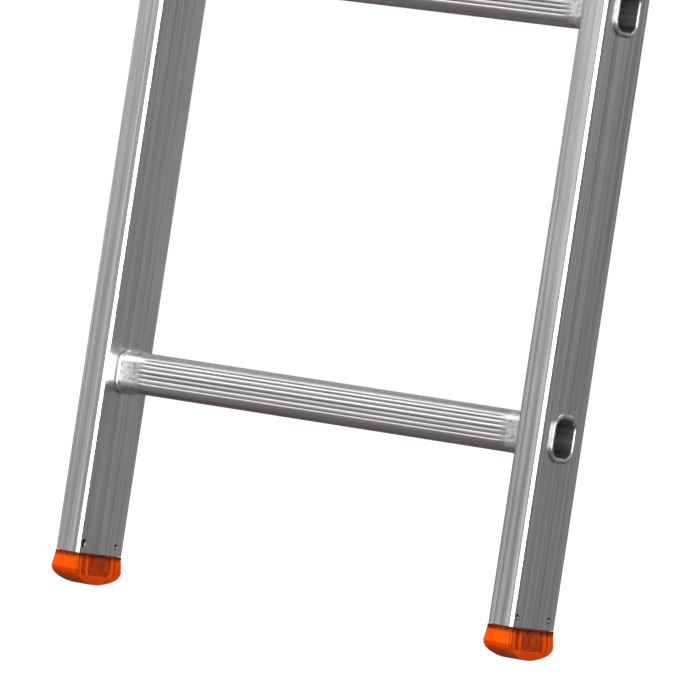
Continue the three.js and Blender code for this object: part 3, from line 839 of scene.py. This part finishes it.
def perimeter_marks():
    """The lengths round a rung's section at which it has points, how deep each lies in a flute, and how
    much painted shade it takes there.
    """
    r = RUNG_CORNER_MM
    half_y, half_z = RUNG_SIZE_MM[0] / 2 - r, RUNG_SIZE_MM[1] / 2 - r
    arc = r * math.pi / 2
    top = half_z + arc + half_y
    back = top + half_y + arc + half_z
    whole = 4 * (half_y + half_z + arc)
    flutes = FACE_FLUTES_MM + [top + s for s in TOP_FLUTES_MM] + [back - s for s in FACE_FLUTES_MM]
    half = FLUTE_PITCH_MM / 2
    marks = {}
    for centre in flutes:
        for away, deep in FLUTE_SHAPE:
            painted_shade = FLUTE_SHADE * max(0.0, 1 - away / FLUTE_SHADE_REACH)
            for way in (-1, 1):
                marks[round((centre + way * away * half) % whole, 4)] = (deep, painted_shade)
    for start in (half_z, top + half_y, back + half_z, whole - half_z - arc):
        for i in range(CORNER_STEPS + 1):
            s = (start + arc * i / CORNER_STEPS) % whole
            if all(abs((s - c + whole / 2) % whole - whole / 2) > half * 0.9 for c in flutes):
                marks[round(s, 4)] = (0, 0)
    return sorted(marks.items())


PERIMETER = perimeter_marks()


def rung_ring(x, section, offset, flute, flat=1.0, corner=RUNG_CORNER_MM):
    """One ring of a rung at x, its surface moved out by offset (by flat times as much at the front
    and back) and its flutes this deep. Millimetres."""
    cy, cz = section.centre.y, section.rungs[0]
    ring = []
    for s, (deep, _) in PERIMETER:
        (y, z), (ny, nz) = perimeter_point(s, corner)
        out = offset - deep * flute * FLUTE_DEPTH_MM
        ring.append((x * MM, (cy + y + ny * out * flat) * MM, (cz + z + nz * out) * MM))
    return ring


def smooth(value, start, stop):
    """An even rise from 0 at start to 1 at stop."""
    t = min(1.0, max(0.0, (value - start) / (stop - start)))
    return t * t * (3 - 2 * t)


def neck_and_bead(inner):
    """Rings where a rung swells towards a rail and bulges into the bead against its inner face."""
    rings = []
    steps = [FADE_START_MM + (BEAD_WIDTH_MM - FADE_START_MM) * i / NECK_STEPS for i in range(NECK_STEPS)]
    steps += [BEAD_WIDTH_MM + (BEAD_END_MM - BEAD_WIDTH_MM) * i / BEAD_STEPS for i in range(BEAD_STEPS + 1)]
    for away in steps:
        flute = smooth(away, FADE_END_MM, FADE_START_MM)
        press = smooth(away, PRESS_START_MM, PRESS_END_MM)
        neck = max(0.0, NECK_START_MM - max(away, BEAD_WIDTH_MM)) / (NECK_START_MM - BEAD_WIDTH_MM)
        bulge = math.sin(math.pi * max(0.0, 1 - away / BEAD_WIDTH_MM))
        offset = NECK_PROUD_MM * neck**NECK_POWER + (BEAD_PROUD_MM - NECK_PROUD_MM) * bulge**0.7
        rings.append((inner - away, offset, 1.0, RUNG_CORNER_MM, flute, press, 0.0))
    return rings


def rolled_lip(outer):
    """Rings of the lip rolled over outside a rail, from the rail's face round into the bore."""
    rings = []
    middle = (LIP_PROUD_MM - RUNG_WALL_MM) / 2
    height = (LIP_PROUD_MM + RUNG_WALL_MM) / 2
    for i in range(LIP_STEPS + 1):
        t = i / LIP_STEPS
        out = math.sin(math.pi * t) if i < LIP_STEPS else 0.0
        up = math.cos(math.pi * t)
        offset = middle + height * math.copysign(abs(up) ** LIP_SQUARE, up)
        shade = LIP_CONTACT if i == 0 else BORE_SHADE * smooth(t, 0.5, 1.0)
        rings.append(
            (
                outer + LIP_START_MM + LIP_THICK_MM * out**LIP_SQUARE,
                offset,
                LIP_FLAT + (1 - LIP_FLAT) * t,
                LIP_CORNER_MM + (BORE_CORNER_MM - LIP_CORNER_MM) * t,
                0.0,
                0.0,
                shade,
            )
        )
    return rings


def rung_stations(section):
    """(x, offset, flat, corner, flute depth, pressing, darkness) along the right half of a rung,
    from its middle to the lip that is rolled over inside it."""
    inner, outer = section.rail_low.x, section.rail_high.x
    return [
        (0.0, 0.0, 1.0, RUNG_CORNER_MM, 1.0, 0.0, 0.0),
        *neck_and_bead(inner),
        # Painted shade, full, on the part of the rung inside the rail.
        (inner - HIDDEN_MM, 0.0, 1.0, RUNG_CORNER_MM, 0.0, 0.0, 1.0),
        (outer + HIDDEN_MM, 0.0, LIP_FLAT, RUNG_CORNER_MM, 0.0, 0.0, 1.0),
        *rolled_lip(outer),
    ]


def rung_blank(section):
    """One whole rung: a fluted tube with beads, rolled lips and a plain bore."""
    right = rung_stations(section)
    left = [(-station[0], *station[1:]) for station in reversed(right)]
    rings, pressed, dark = [], [], []
    for x, offset, flat, corner, flute, press, shade in left + right[1:]:
        rings.append(rung_ring(x, section, offset, flute, flat, corner))
        pressed += [press] * len(PERIMETER)
        # Painted shade: in the flutes, inside the rail, in the bore and where the lip meets the rail.
        dark += [max(shade, flute * painted_shade) for _, (_, painted_shade) in PERIMETER]
    blank = loft(f"{section.name}_rung_blank", rings, closed=True)
    mark(blank, "pressed", pressed)
    mark(blank, "dark", dark)
    return tidy(blank, sharp_degrees=44, merge=1e-7)


def make_rungs(row, material):
    for section in SECTIONS:
        blank = rung_blank(section)
        rungs = row.run(blank, Count=len(section.rungs), Pitch=section.pitch * MM, Material=material)
        rungs.name = f"{section.name}_rungs"
        nodes = [f"{section.name}_rung_{i + 1}" for i in range(len(section.rungs))]
        hand_in(rungs, section.name, "rung_aluminium", *nodes)


# ------------------------------------------------------------------ feet and end caps


def end_ring(x, y, z, recess=0.0, bevel=RAIL_BEVEL_MM):
    """A ring of a foot or cap, from its middle: half width x, half depth y, at height z. Its sides
    are sunk by recess between the ribs. Millimetres."""
    rib = FOOT_RIB_MM / 2
    slope = rib + FOOT_RIB_SLOPE_MM
    side = [(x, -y + bevel)]
    for middle in FOOT_RIBS_MM:
        for away, sunk in ((-slope, recess), (-rib, 0), (rib, 0), (slope, recess)):
            side.append((x - sunk, (middle + away) * y / BASE.half.y))
    side.append((x, y - bevel))
    front = [(x - bevel) * k / 2 for k in range(3)]
    right = [(u, -y) for u in front]
    right.append((x - bevel / 2, -y + bevel / 2))
    right += side
    right.append((x - bevel / 2, y - bevel / 2))
    right += [(u, y) for u in reversed(front)]
    left = [(-u, v) for u, v in reversed(right[1:-1])]
    return [(u, v, z) for u, v in right + left]


def placed_ring(ring, centre):
    """A ring in metres, round a centre given in millimetres."""
    return [((centre.x + u) * MM, (centre.y + v) * MM, z * MM) for u, v, z in ring]


def foot_levels(wide, seat, plug_end):
    """(half width, half depth, height, recess) of a foot's rings, from its sole up to its plug. wide
    is half its size, and seat the height of its top."""
    chamfer_z, chamfer_x = FOOT_SIDE_CHAMFER_MM
    rise = FOOT_EDGE_MM * FOOT_FULLNESS
    rail = BASE.half

    def swell(z):
        return math.sqrt(1 - (1 - z / rise) ** 2)

    def sole(z, recess):
        half_x = wide.x - chamfer_x * max(0.0, 1 - z / chamfer_z) ** FOOT_SIDE_POWER
        return half_x, max(FOOT_LAND_MM / 2, wide.y * swell(z) / swell(FOOT_EDGE_MM)), z, recess

    levels = [sole(z, 0.0) for z in SOLE_LEVELS_MM] + [sole(z, FOOT_RECESS_MM) for z in RIB_LEVELS_MM]
    inwards, below, above = FOOT_EDGE_BREAK_MM
    levels.append((wide.x, wide.y - inwards, FOOT_EDGE_MM - below, FOOT_RECESS_MM))
    past, gap = SKIRT_END_MM
    start, stop = FOOT_EDGE_MM + above, seat - FOOT_LIP_MM - gap
    for k in range(SKIRT_STEPS + 1):
        t = k / SKIRT_STEPS
        half_x = wide.x + (rail.x + past - wide.x) * t
        half_y = wide.y + (rail.y + past - wide.y) * t
        levels.append((half_x, half_y, start + (stop - start) * t, FOOT_RECESS_MM))
    heights = (seat - FOOT_LIP_MM, seat - FOOT_LIP_ROUND_MM, seat)
    nose, length = PLUG_NOSE_MM
    proud = list(zip(FOOT_LIP_PROUD_MM, heights))
    proud += [(-PLUG_INSET_MM, seat), (-PLUG_INSET_MM, plug_end - length)]
    proud.append((-PLUG_INSET_MM - nose, plug_end))
    return levels + [(rail.x + out, rail.y + out, z, 0.0) for out, z in proud]


def foot_mesh(name):
    """A rounded foot with a lip, ribbed sides and a plug inside the rail."""
    low, high = box_mm("foot_right")
    centre, wide = (low + high) / 2, (high - low) / 2
    seat = BASE.rail_low.z - HOLE_PLAY_MM
    rings, dark = [], []
    for x, y, z, recess in foot_levels(wide, seat, high.z):
        bevel = min(RAIL_BEVEL_MM, y * SOLE_BEVEL)
        ring = end_ring(x, y, z, recess, bevel)
        rings.append(placed_ring(ring, centre))
        # Painted shadow just under the rail, and painted shade in the sunk sides between the ribs.
        under_lip = FOOT_LIP_SHADE if z >= seat - FOOT_LIP_MM - FOOT_LIP_REACH_MM else 0.0
        for u, _, _ in ring:
            sunk = (x - abs(u)) / FOOT_RECESS_MM if recess and abs(u) > x - bevel * 0.9 else 0.0
            dark.append(FOOT_SHADE * max(sunk, under_lip))
    foot = loft(name, rings)
    mark(foot, "dark", dark)
    return tidy(foot, sharp_degrees=28)


def cap_mesh(name, node, section, upwards):
    """A flat end cap with a rounded rim and a plug inside the rail."""
    low, high = box_mm(node)
    way = 1 if upwards else -1
    end, plug_end = (high.z, low.z) if upwards else (low.z, high.z)
    seat = (section.rail_high.z if upwards else section.rail_low.z) + way * HOLE_PLAY_MM
    nose, length = PLUG_NOSE_MM
    inset, rise = CAP_EDGE_MM
    levels = [
        (PLUG_INSET_MM + nose, plug_end),
        (PLUG_INSET_MM, plug_end + way * length),
        (PLUG_INSET_MM, seat),
        (inset, seat),
        (0, seat + way * rise),
    ]
    levels += [(inwards, end - way * down) for inwards, down in CAP_RIM_MM + CAP_DISH_MM]
    x, y = section.half.x, section.half.y
    rings = [placed_ring(end_ring(x - i, y - i, z), section.centre) for i, z in levels]
    return tidy(loft(name, rings), sharp_degrees=28)


def make_plastic_ends(material):
    for side in SIDES:
        foot = painted(hand(foot_mesh(f"foot_{side}_moulded"), side), material)
        hand_in(foot, "base", "orange_plastic", f"foot_{side}")
        caps = (
            (f"base_top_cap_{side}", BASE, True),
            (f"fly_top_cap_{side}", FLY, True),
            (f"fly_bottom_cap_{side}", FLY, False),
        )
        for node, section, upwards in caps:
            cap = cap_mesh(f"{node}_moulded", node, section, upwards)
            hand_in(painted(hand(cap, side), material), section.name, "orange_plastic", node)


# ------------------------------------------------------------------ guides and glide pads


def slab(name, outline, low, high, along="Z", edge_mm=EDGE_MM):
    """A plate with broken edges. Its outline is in X and Y for a plate whose thickness is along Z,
    and in Y and Z for one whose thickness is along X. Millimetres."""
    count = len(outline)
    verts = []
    for level in (low, high):
        for u, v in outline:
            place = (u, v, level) if along == "Z" else (level, u, v)
            verts.append(Vector(place) * MM)
    faces = [(i, (i + 1) % count, count + (i + 1) % count, count + i) for i in range(count)]
    faces += [tuple(reversed(range(count))), tuple(range(count, 2 * count))]
    made = tidy(new_object(name, verts, faces))
    return tidy(bevelled(made, edge_mm), sharp_degrees=50)


def base_guide(node):
    """Sheet bent into two lips that hold the fly rail between them, and a web on the base rail."""
    low, high = box_mm("base_guide_right")
    web = high.x - SHEET_MM
    front = low.y + SHEET_MM
    rear = FLY.rail_high.y + GUIDE_PLAY_MM
    outline = [
        (low.x, low.y, LIP_END_MM),
        (high.x, low.y, BEND_MM + SHEET_MM),
        (high.x, high.y, WEB_END_MM),
        (web, high.y, WEB_END_MM),
        (web, rear + SHEET_MM, BEND_MM),
        (low.x, rear + SHEET_MM, LIP_END_MM),
        (low.x, rear, LIP_END_MM),
        (web, rear, BEND_MM),
        (web, front, BEND_MM),
        (low.x, front, LIP_END_MM),
    ]
    return slab(node + "_bent", rounded_path(outline), low.z, high.z)


def fly_guide(node):
    """Sheet bent round the base rail, with a flange on the fly rail."""
    low, high = box_mm("fly_guide_right")
    flange = low.x + SHEET_MM
    front = BASE.rail_low.y - GUIDE_PLAY_MM
    web = high.x - SHEET_MM
    lip = BASE.rail_low.x
    outline = [
        (low.x, low.y, WEB_END_MM),
        (flange, low.y, WEB_END_MM),
        (flange, front - SHEET_MM, BEND_MM),
        (high.x, front - SHEET_MM, BEND_MM + SHEET_MM),
        (high.x, high.y, BEND_MM + SHEET_MM),
        (lip, high.y, LIP_END_MM),
        (lip, high.y - SHEET_MM, LIP_END_MM),
        (web, high.y - SHEET_MM, BEND_MM),
        (web, front, BEND_MM),
        (low.x, front, BEND_MM + SHEET_MM),
    ]
    return slab(node + "_bent", rounded_path(outline), low.z, high.z)


def glide_pad(node, right_node, outward):
    """A nylon pad with rounded ends, held by two pegs whose heads are outside the lip."""
    low, high = box_mm(right_node)
    head_end, face = (high.y, low.y) if outward > 0 else (low.y, high.y)
    corners = [(-low.x, low.z), (-high.x, low.z), (-high.x, high.z), (-low.x, high.z)]
    outline = rounded_path(corners, PAD_CORNER_MM)
    pieces = [slab(node + "_pad", outline, face, face + outward * PAD_MM, "X", PAD_EDGE_MM)]
    profile = [(face + outward * PAD_MM / 2 - head_end, PEG_MM)]
    profile += [(-outward * down, radius) for down, radius in PEG_HEAD_MM]
    for way in (-1, 1):
        z = (low.z + high.z + way * PEG_SPACING_MM) / 2
        pieces.append(lathe_x(node + "_peg", profile, head_end, -(low.x + high.x) / 2, z))
    pad = joined(node + "_moulded", pieces)
    # Drawn across the ladder, and turned to face front or back.
    pad.data.transform(Matrix(((0, -1, 0, 0), (1, 0, 0, 0), (0, 0, 1, 0), (0, 0, 0, 1))))
    return pad


def make_guides(steel, nylon):
    for side in SIDES:
        for body, guide in (("base", base_guide), ("fly", fly_guide)):
            node = f"{body}_guide_{side}"
            hand_in(painted(hand(guide(node), side), steel), body, "zinc_steel", node)
            for place, outward in (("front", -1), ("rear", 1)):
                node = f"{body}_{place}_pad_{side}"
                pad = glide_pad(node, f"{body}_{place}_pad_right", outward)
                pad = painted(hand(pad, side), nylon)
                hand_in(pad, body, "glide_plastic", node)


# ------------------------------------------------------------------ rivets and hook pivots


DOME_TURNS = [math.radians(a) for a in (3, 20, 38, 56, 74, 90)]


def rivet_profile(head, tail, radius, head_radius, tail_radius, thick):
    """A domed rivet from its head (at X head) to its tail (at X tail)."""
    way = 1 if tail > head else -1

    def dome(start, inwards, wide):
        rise = [start + inwards * thick * (1 - math.cos(a)) for a in DOME_TURNS]
        return [(x, max(wide * math.sin(a), RIVET_TIP_MM)) for x, a in zip(rise, DOME_TURNS)]

    shank = [(head + way * thick, radius), (tail - way * thick, radius)]
    return dome(head, way, head_radius) + shank + dome(tail, -way, tail_radius)[::-1]


def make_rivets(scattered, material):
    """The four rivets of each section's guides are one piece, and the two hook pivots are another."""
    sets = (
        ("base_guide_rivets", [f"base_guide_rivet_{i}" for i in (1, 2)], "base", False),
        ("fly_guide_rivets", [f"fly_guide_rivet_{i}" for i in (1, 2)], "fly", True),
        ("hook_pivots", ["hook_pivot"], "fly", False),
    )
    for name, stems, body, head_outside in sets:
        low, high = box_mm(stems[0] + "_right")
        wide = (high.z - low.z) / 2
        head, tail = (high.x, low.x) if head_outside else (low.x, high.x)
        middle = (high.x + low.x) / 2
        shank, small, thick = (wide * part for part in (RIVET_SHANK, RIVET_TAIL, RIVET_DOME))
        profile = rivet_profile(head - middle, tail - middle, shank, wide, small, thick)
        rivet = lathe_x(name + "_one", profile, 0, 0, 0)
        nodes = [f"{stem}_{side}" for stem in stems for side in SIDES]
        points = new_object(name, [middle_mm(node) * MM for node in nodes], [])
        rivets = scattered.run(points, Rivet=rivet, Material=material)
        hand_in(tidy(rivets), body, "rivet_steel", *nodes)
        bpy.data.objects.remove(rivet)


# ------------------------------------------------------------------ rung hooks


def hook_plate(node):
    """A hook cut from plate: a lever, a boss round the pivot and a nose that drops behind the rung."""
    low, high = box_mm("rung_hook_right")
    pivot = middle_mm("hook_pivot_right")
    seat, cut, boss = HOOK_SEAT_MM, HOOK_CUT_MM, HOOK_BOSS_MM
    tail = low.y - pivot.y
    back = high.y - pivot.y
    nose = back - HOOK_NOSE_MM
    drop = low.z - pivot.z + cut
    outline = [
        (tail, seat, 1.5),
        (-HOOK_STEP_MM, seat, 3),
        (HOOK_STEP_MM, -HOOK_WEB_MM, 5),
        (nose - RUNG_SIZE_MM[0] + cut, seat, 3),
        (nose, seat, 2.5),
        (nose, drop, 2),
        (nose + cut, drop - cut, 1.5),
        (back - cut, drop - cut, 2),
        (back, drop, 2),
        (back, -cut, 4),
        (back - HOOK_BACK_MM, cut, 4),
        (boss * 0.7, boss * 0.86, 5),
        (0, boss * 1.04, 6),
        (-boss * 0.7, boss * 0.86, 5),
        (tail, -cut, 3),
    ]
    outline = [(y + pivot.y, z + pivot.z, radius) for y, z, radius in outline]
    return slab(node + "_cut", rounded_path(outline), low.x, high.x, "X", HOOK_EDGE_MM)


def spring_path(node):
    """The centre line of a torsion spring: a leg, two turns round the pivot and a second leg."""
    low, high = box_mm("hook_spring_right")
    pivot = middle_mm("hook_pivot_right")
    start, stop = high.x - SPRING_WIRE_MM / 2, low.x + SPRING_WIRE_MM / 2
    radius = high.z - pivot.z - SPRING_WIRE_MM / 2
    leg = high.y - pivot.y
    points = [(start, -leg, -radius), (start, -leg * 0.6, -radius), (start, -leg * 0.25, -radius)]
    steps = SPRING_TURNS * SPRING_STEPS
    for i in range(steps + 1):
        angle = 2 * math.pi * SPRING_TURNS * i / steps
        x = start + (stop - start) * i / steps
        points.append((x, radius * math.sin(angle), -radius * math.cos(angle)))
    points += [(stop, leg * 0.25, -radius), (stop, leg * 0.6, -radius), (stop, leg, -radius)]
    curve = bpy.data.curves.new(node + "_path", "CURVE")
    curve.dimensions = "3D"
    spline = curve.splines.new("POLY")
    spline.points.add(len(points) - 1)
    for point, (x, y, z) in zip(spline.points, points):
        point.co = (x * MM, (y + pivot.y) * MM, (z + pivot.z) * MM, 1)
    return linked(node + "_path", curve)


def make_hooks(wire, steel, spring_steel, nylon):
    for side in SIDES:
        node = f"rung_hook_{side}"
        hook = painted(hand(hook_plate(node), side), steel)
        hand_in(hook, f"hook_{side}", "zinc_steel", node)
        node = f"hook_spring_{side}"
        path = spring_path(node)
        spring = wire.run(path, Wire_radius=SPRING_WIRE_MM / 2 * MM, Sides=12, Material=spring_steel)
        hand_in(hand(tidy(spring), side), "fly", "spring_steel", node)
        node = f"hook_bush_{side}"
        low, high = box_mm("hook_bush_right")
        wide = (high.z - low.z) / 2
        long, edge = high.x - low.x, BUSH_EDGE_MM
        profile = [(0, wide - edge), (edge, wide), (long - edge, wide), (long, wide - edge)]
        bush = lathe_x(node + "_turned", profile, low.x, (low.y + high.y) / 2, (low.z + high.z) / 2)
        hand_in(painted(hand(bush, side), nylon), "fly", "glide_plastic", node)


# ------------------------------------------------------------------ floor, light and camera


def lit_floor():
    """A pale floor that looks the same from above wherever the light falls, with a soft contact."""
    paint = Paint(
        "floor",
        Roughness=0.9,
        Specular_IOR_Level=0,
        Emission_Color=(1, 1, 1, 1),
        Emission_Strength=FLOOR_GLOW,
    )
    grain = paint.noise((40, 40, 40))
    paint.set("Base Color", paint.ramp(grain, (0.4, FLOOR_DARK), (0.6, FLOOR_LIGHT)))
    half = FLOOR_HALF
    corners = [(-half, -half, 0), (half, -half, 0), (half, half, 0), (-half, half, 0)]
    floor = painted(new_object("floor", corners, [(0, 1, 2, 3)]), paint.material)
    floor.visible_glossy = False
    floor.visible_diffuse = False


def studio_world():
    """White to the camera; to the object a soft room, bright above and darker behind."""
    world = bpy.data.worlds.new("studio")
    world.use_nodes = True
    world.node_tree.nodes.clear()
    room = Shading(world.node_tree)
    way = room.node("ShaderNodeTexCoord").outputs["Generated"]
    split = room.node("ShaderNodeSeparateXYZ")
    dot = room.node("ShaderNodeVectorMath", operation="DOT_PRODUCT")
    dot.inputs[1].default_value = ROOM_FRONT
    room.link(way, split.inputs[0])
    room.link(way, dot.inputs[0])
    turn = room.math("MULTIPLY_ADD", dot.outputs["Value"], 0.5, 0.5)
    height = room.math("MULTIPLY_ADD", split.outputs["Z"], 0.5, 0.5)
    by_turn = room.ramp(turn, *ROOM_TURN, interpolation="EASE")
    by_height = room.ramp(height, *ROOM_HEIGHT, interpolation="EASE")
    seen = room.blend(1.0, by_turn, by_height, "MULTIPLY")
    path = room.node("ShaderNodeLightPath")
    seen = room.blend(path.outputs["Is Camera Ray"], seen, (1, 1, 1))
    background = room.node("ShaderNodeBackground")
    output = room.node("ShaderNodeOutputWorld")
    room.link(seen, background.inputs["Color"])
    room.link(background.outputs[0], output.inputs["Surface"])
    bpy.context.scene.world = world


def softbox(name, azimuth, elevation, distance, size, watts, aim):
    """A rectangular light, turned to a point. Azimuth is from +X towards +Y, in degrees."""
    light = bpy.data.lights.new(name, "AREA")
    light.shape = "RECTANGLE"
    light.size, light.size_y = size
    light.energy = watts
    made = linked(name, light)
    a, e = math.radians(azimuth), math.radians(elevation)
    way = Vector((math.cos(a) * math.cos(e), math.sin(a) * math.cos(e), math.sin(e)))
    made.location = Vector(aim) + way * distance
    made.rotation_euler = way.to_track_quat("Z", "Y").to_euler()


def lights():
    """The tall edge light shows in the bevels of the rails, and the fill light brightens the feet."""
    rail_aim = (0, BASE.centre.y * MM, 1.2)
    low_aim = (0, 0, 0.6)
    softbox("edge_light", -36.2, 0, distance=7, size=(1.3, 7), watts=260, aim=rail_aim)
    softbox("front_light", -91, 4, distance=8, size=(4.6, 4), watts=35, aim=(0, 0, 0.8))
    softbox("key", -118, 32, distance=6, size=(3.5, 4.5), watts=90, aim=low_aim)
    softbox("top", 80, 75, distance=6, size=(5, 5), watts=90, aim=low_aim)
    softbox("fill", -54, 8, distance=6, size=(2, 2.4), watts=125, aim=(0, 0, 0.4))


def camera():
    """Looks almost level at the foot of the ladder, from the front and well to the right."""
    data = bpy.data.cameras.new("camera")
    data.lens = CAMERA_LENS
    data.sensor_width = 36
    data.clip_end = 200
    made = linked("camera", data)
    around, above = math.radians(CAMERA_AZIMUTH), math.radians(CAMERA_ELEVATION)
    back = Vector((math.sin(around), -math.cos(around), 0)) * math.cos(above)
    back.z = math.sin(above)
    turn = back.to_track_quat("Z", "Y").to_matrix().to_4x4()
    roll = Matrix.Rotation(math.radians(CAMERA_ROLL), 4, "Z")
    place = Vector(CAMERA_TARGET) + back * CAMERA_DISTANCE
    made.matrix_world = Matrix.Translation(place) @ turn @ roll
    bpy.context.scene.camera = made


def look():
    settings = bpy.context.scene.view_settings
    settings.view_transform = "Standard"
    settings.look = "None"
    settings.exposure = 0
    settings.gamma = 1


# ------------------------------------------------------------------ the ladder


def build():
    rail_metal = drawn_aluminium("rail_aluminium", "Z", *RAIL_METAL, 0.30)
    rung_metal = drawn_aluminium("rung_aluminium", "X", *RUNG_METAL, 0.34)
    orange = moulded_orange()
    zinc = zinc_plate("zinc_steel", *ZINC, 0.36)
    rivet_steel = zinc_plate("rivet_steel", *RIVET_METAL, 0.30)
    spring_steel = zinc_plate("spring_steel", *SPRING_METAL, 0.34)
    nylon = black_nylon()
    make_rails(drilled_tree(), rail_metal)
    make_rungs(row_tree(), rung_metal)
    make_plastic_ends(orange)
    make_guides(zinc, nylon)
    make_rivets(scattered_tree(), rivet_steel)
    make_hooks(wire_tree(), zinc, spring_steel, nylon)


build()
lit_floor()
studio_world()
lights()
camera()
look()
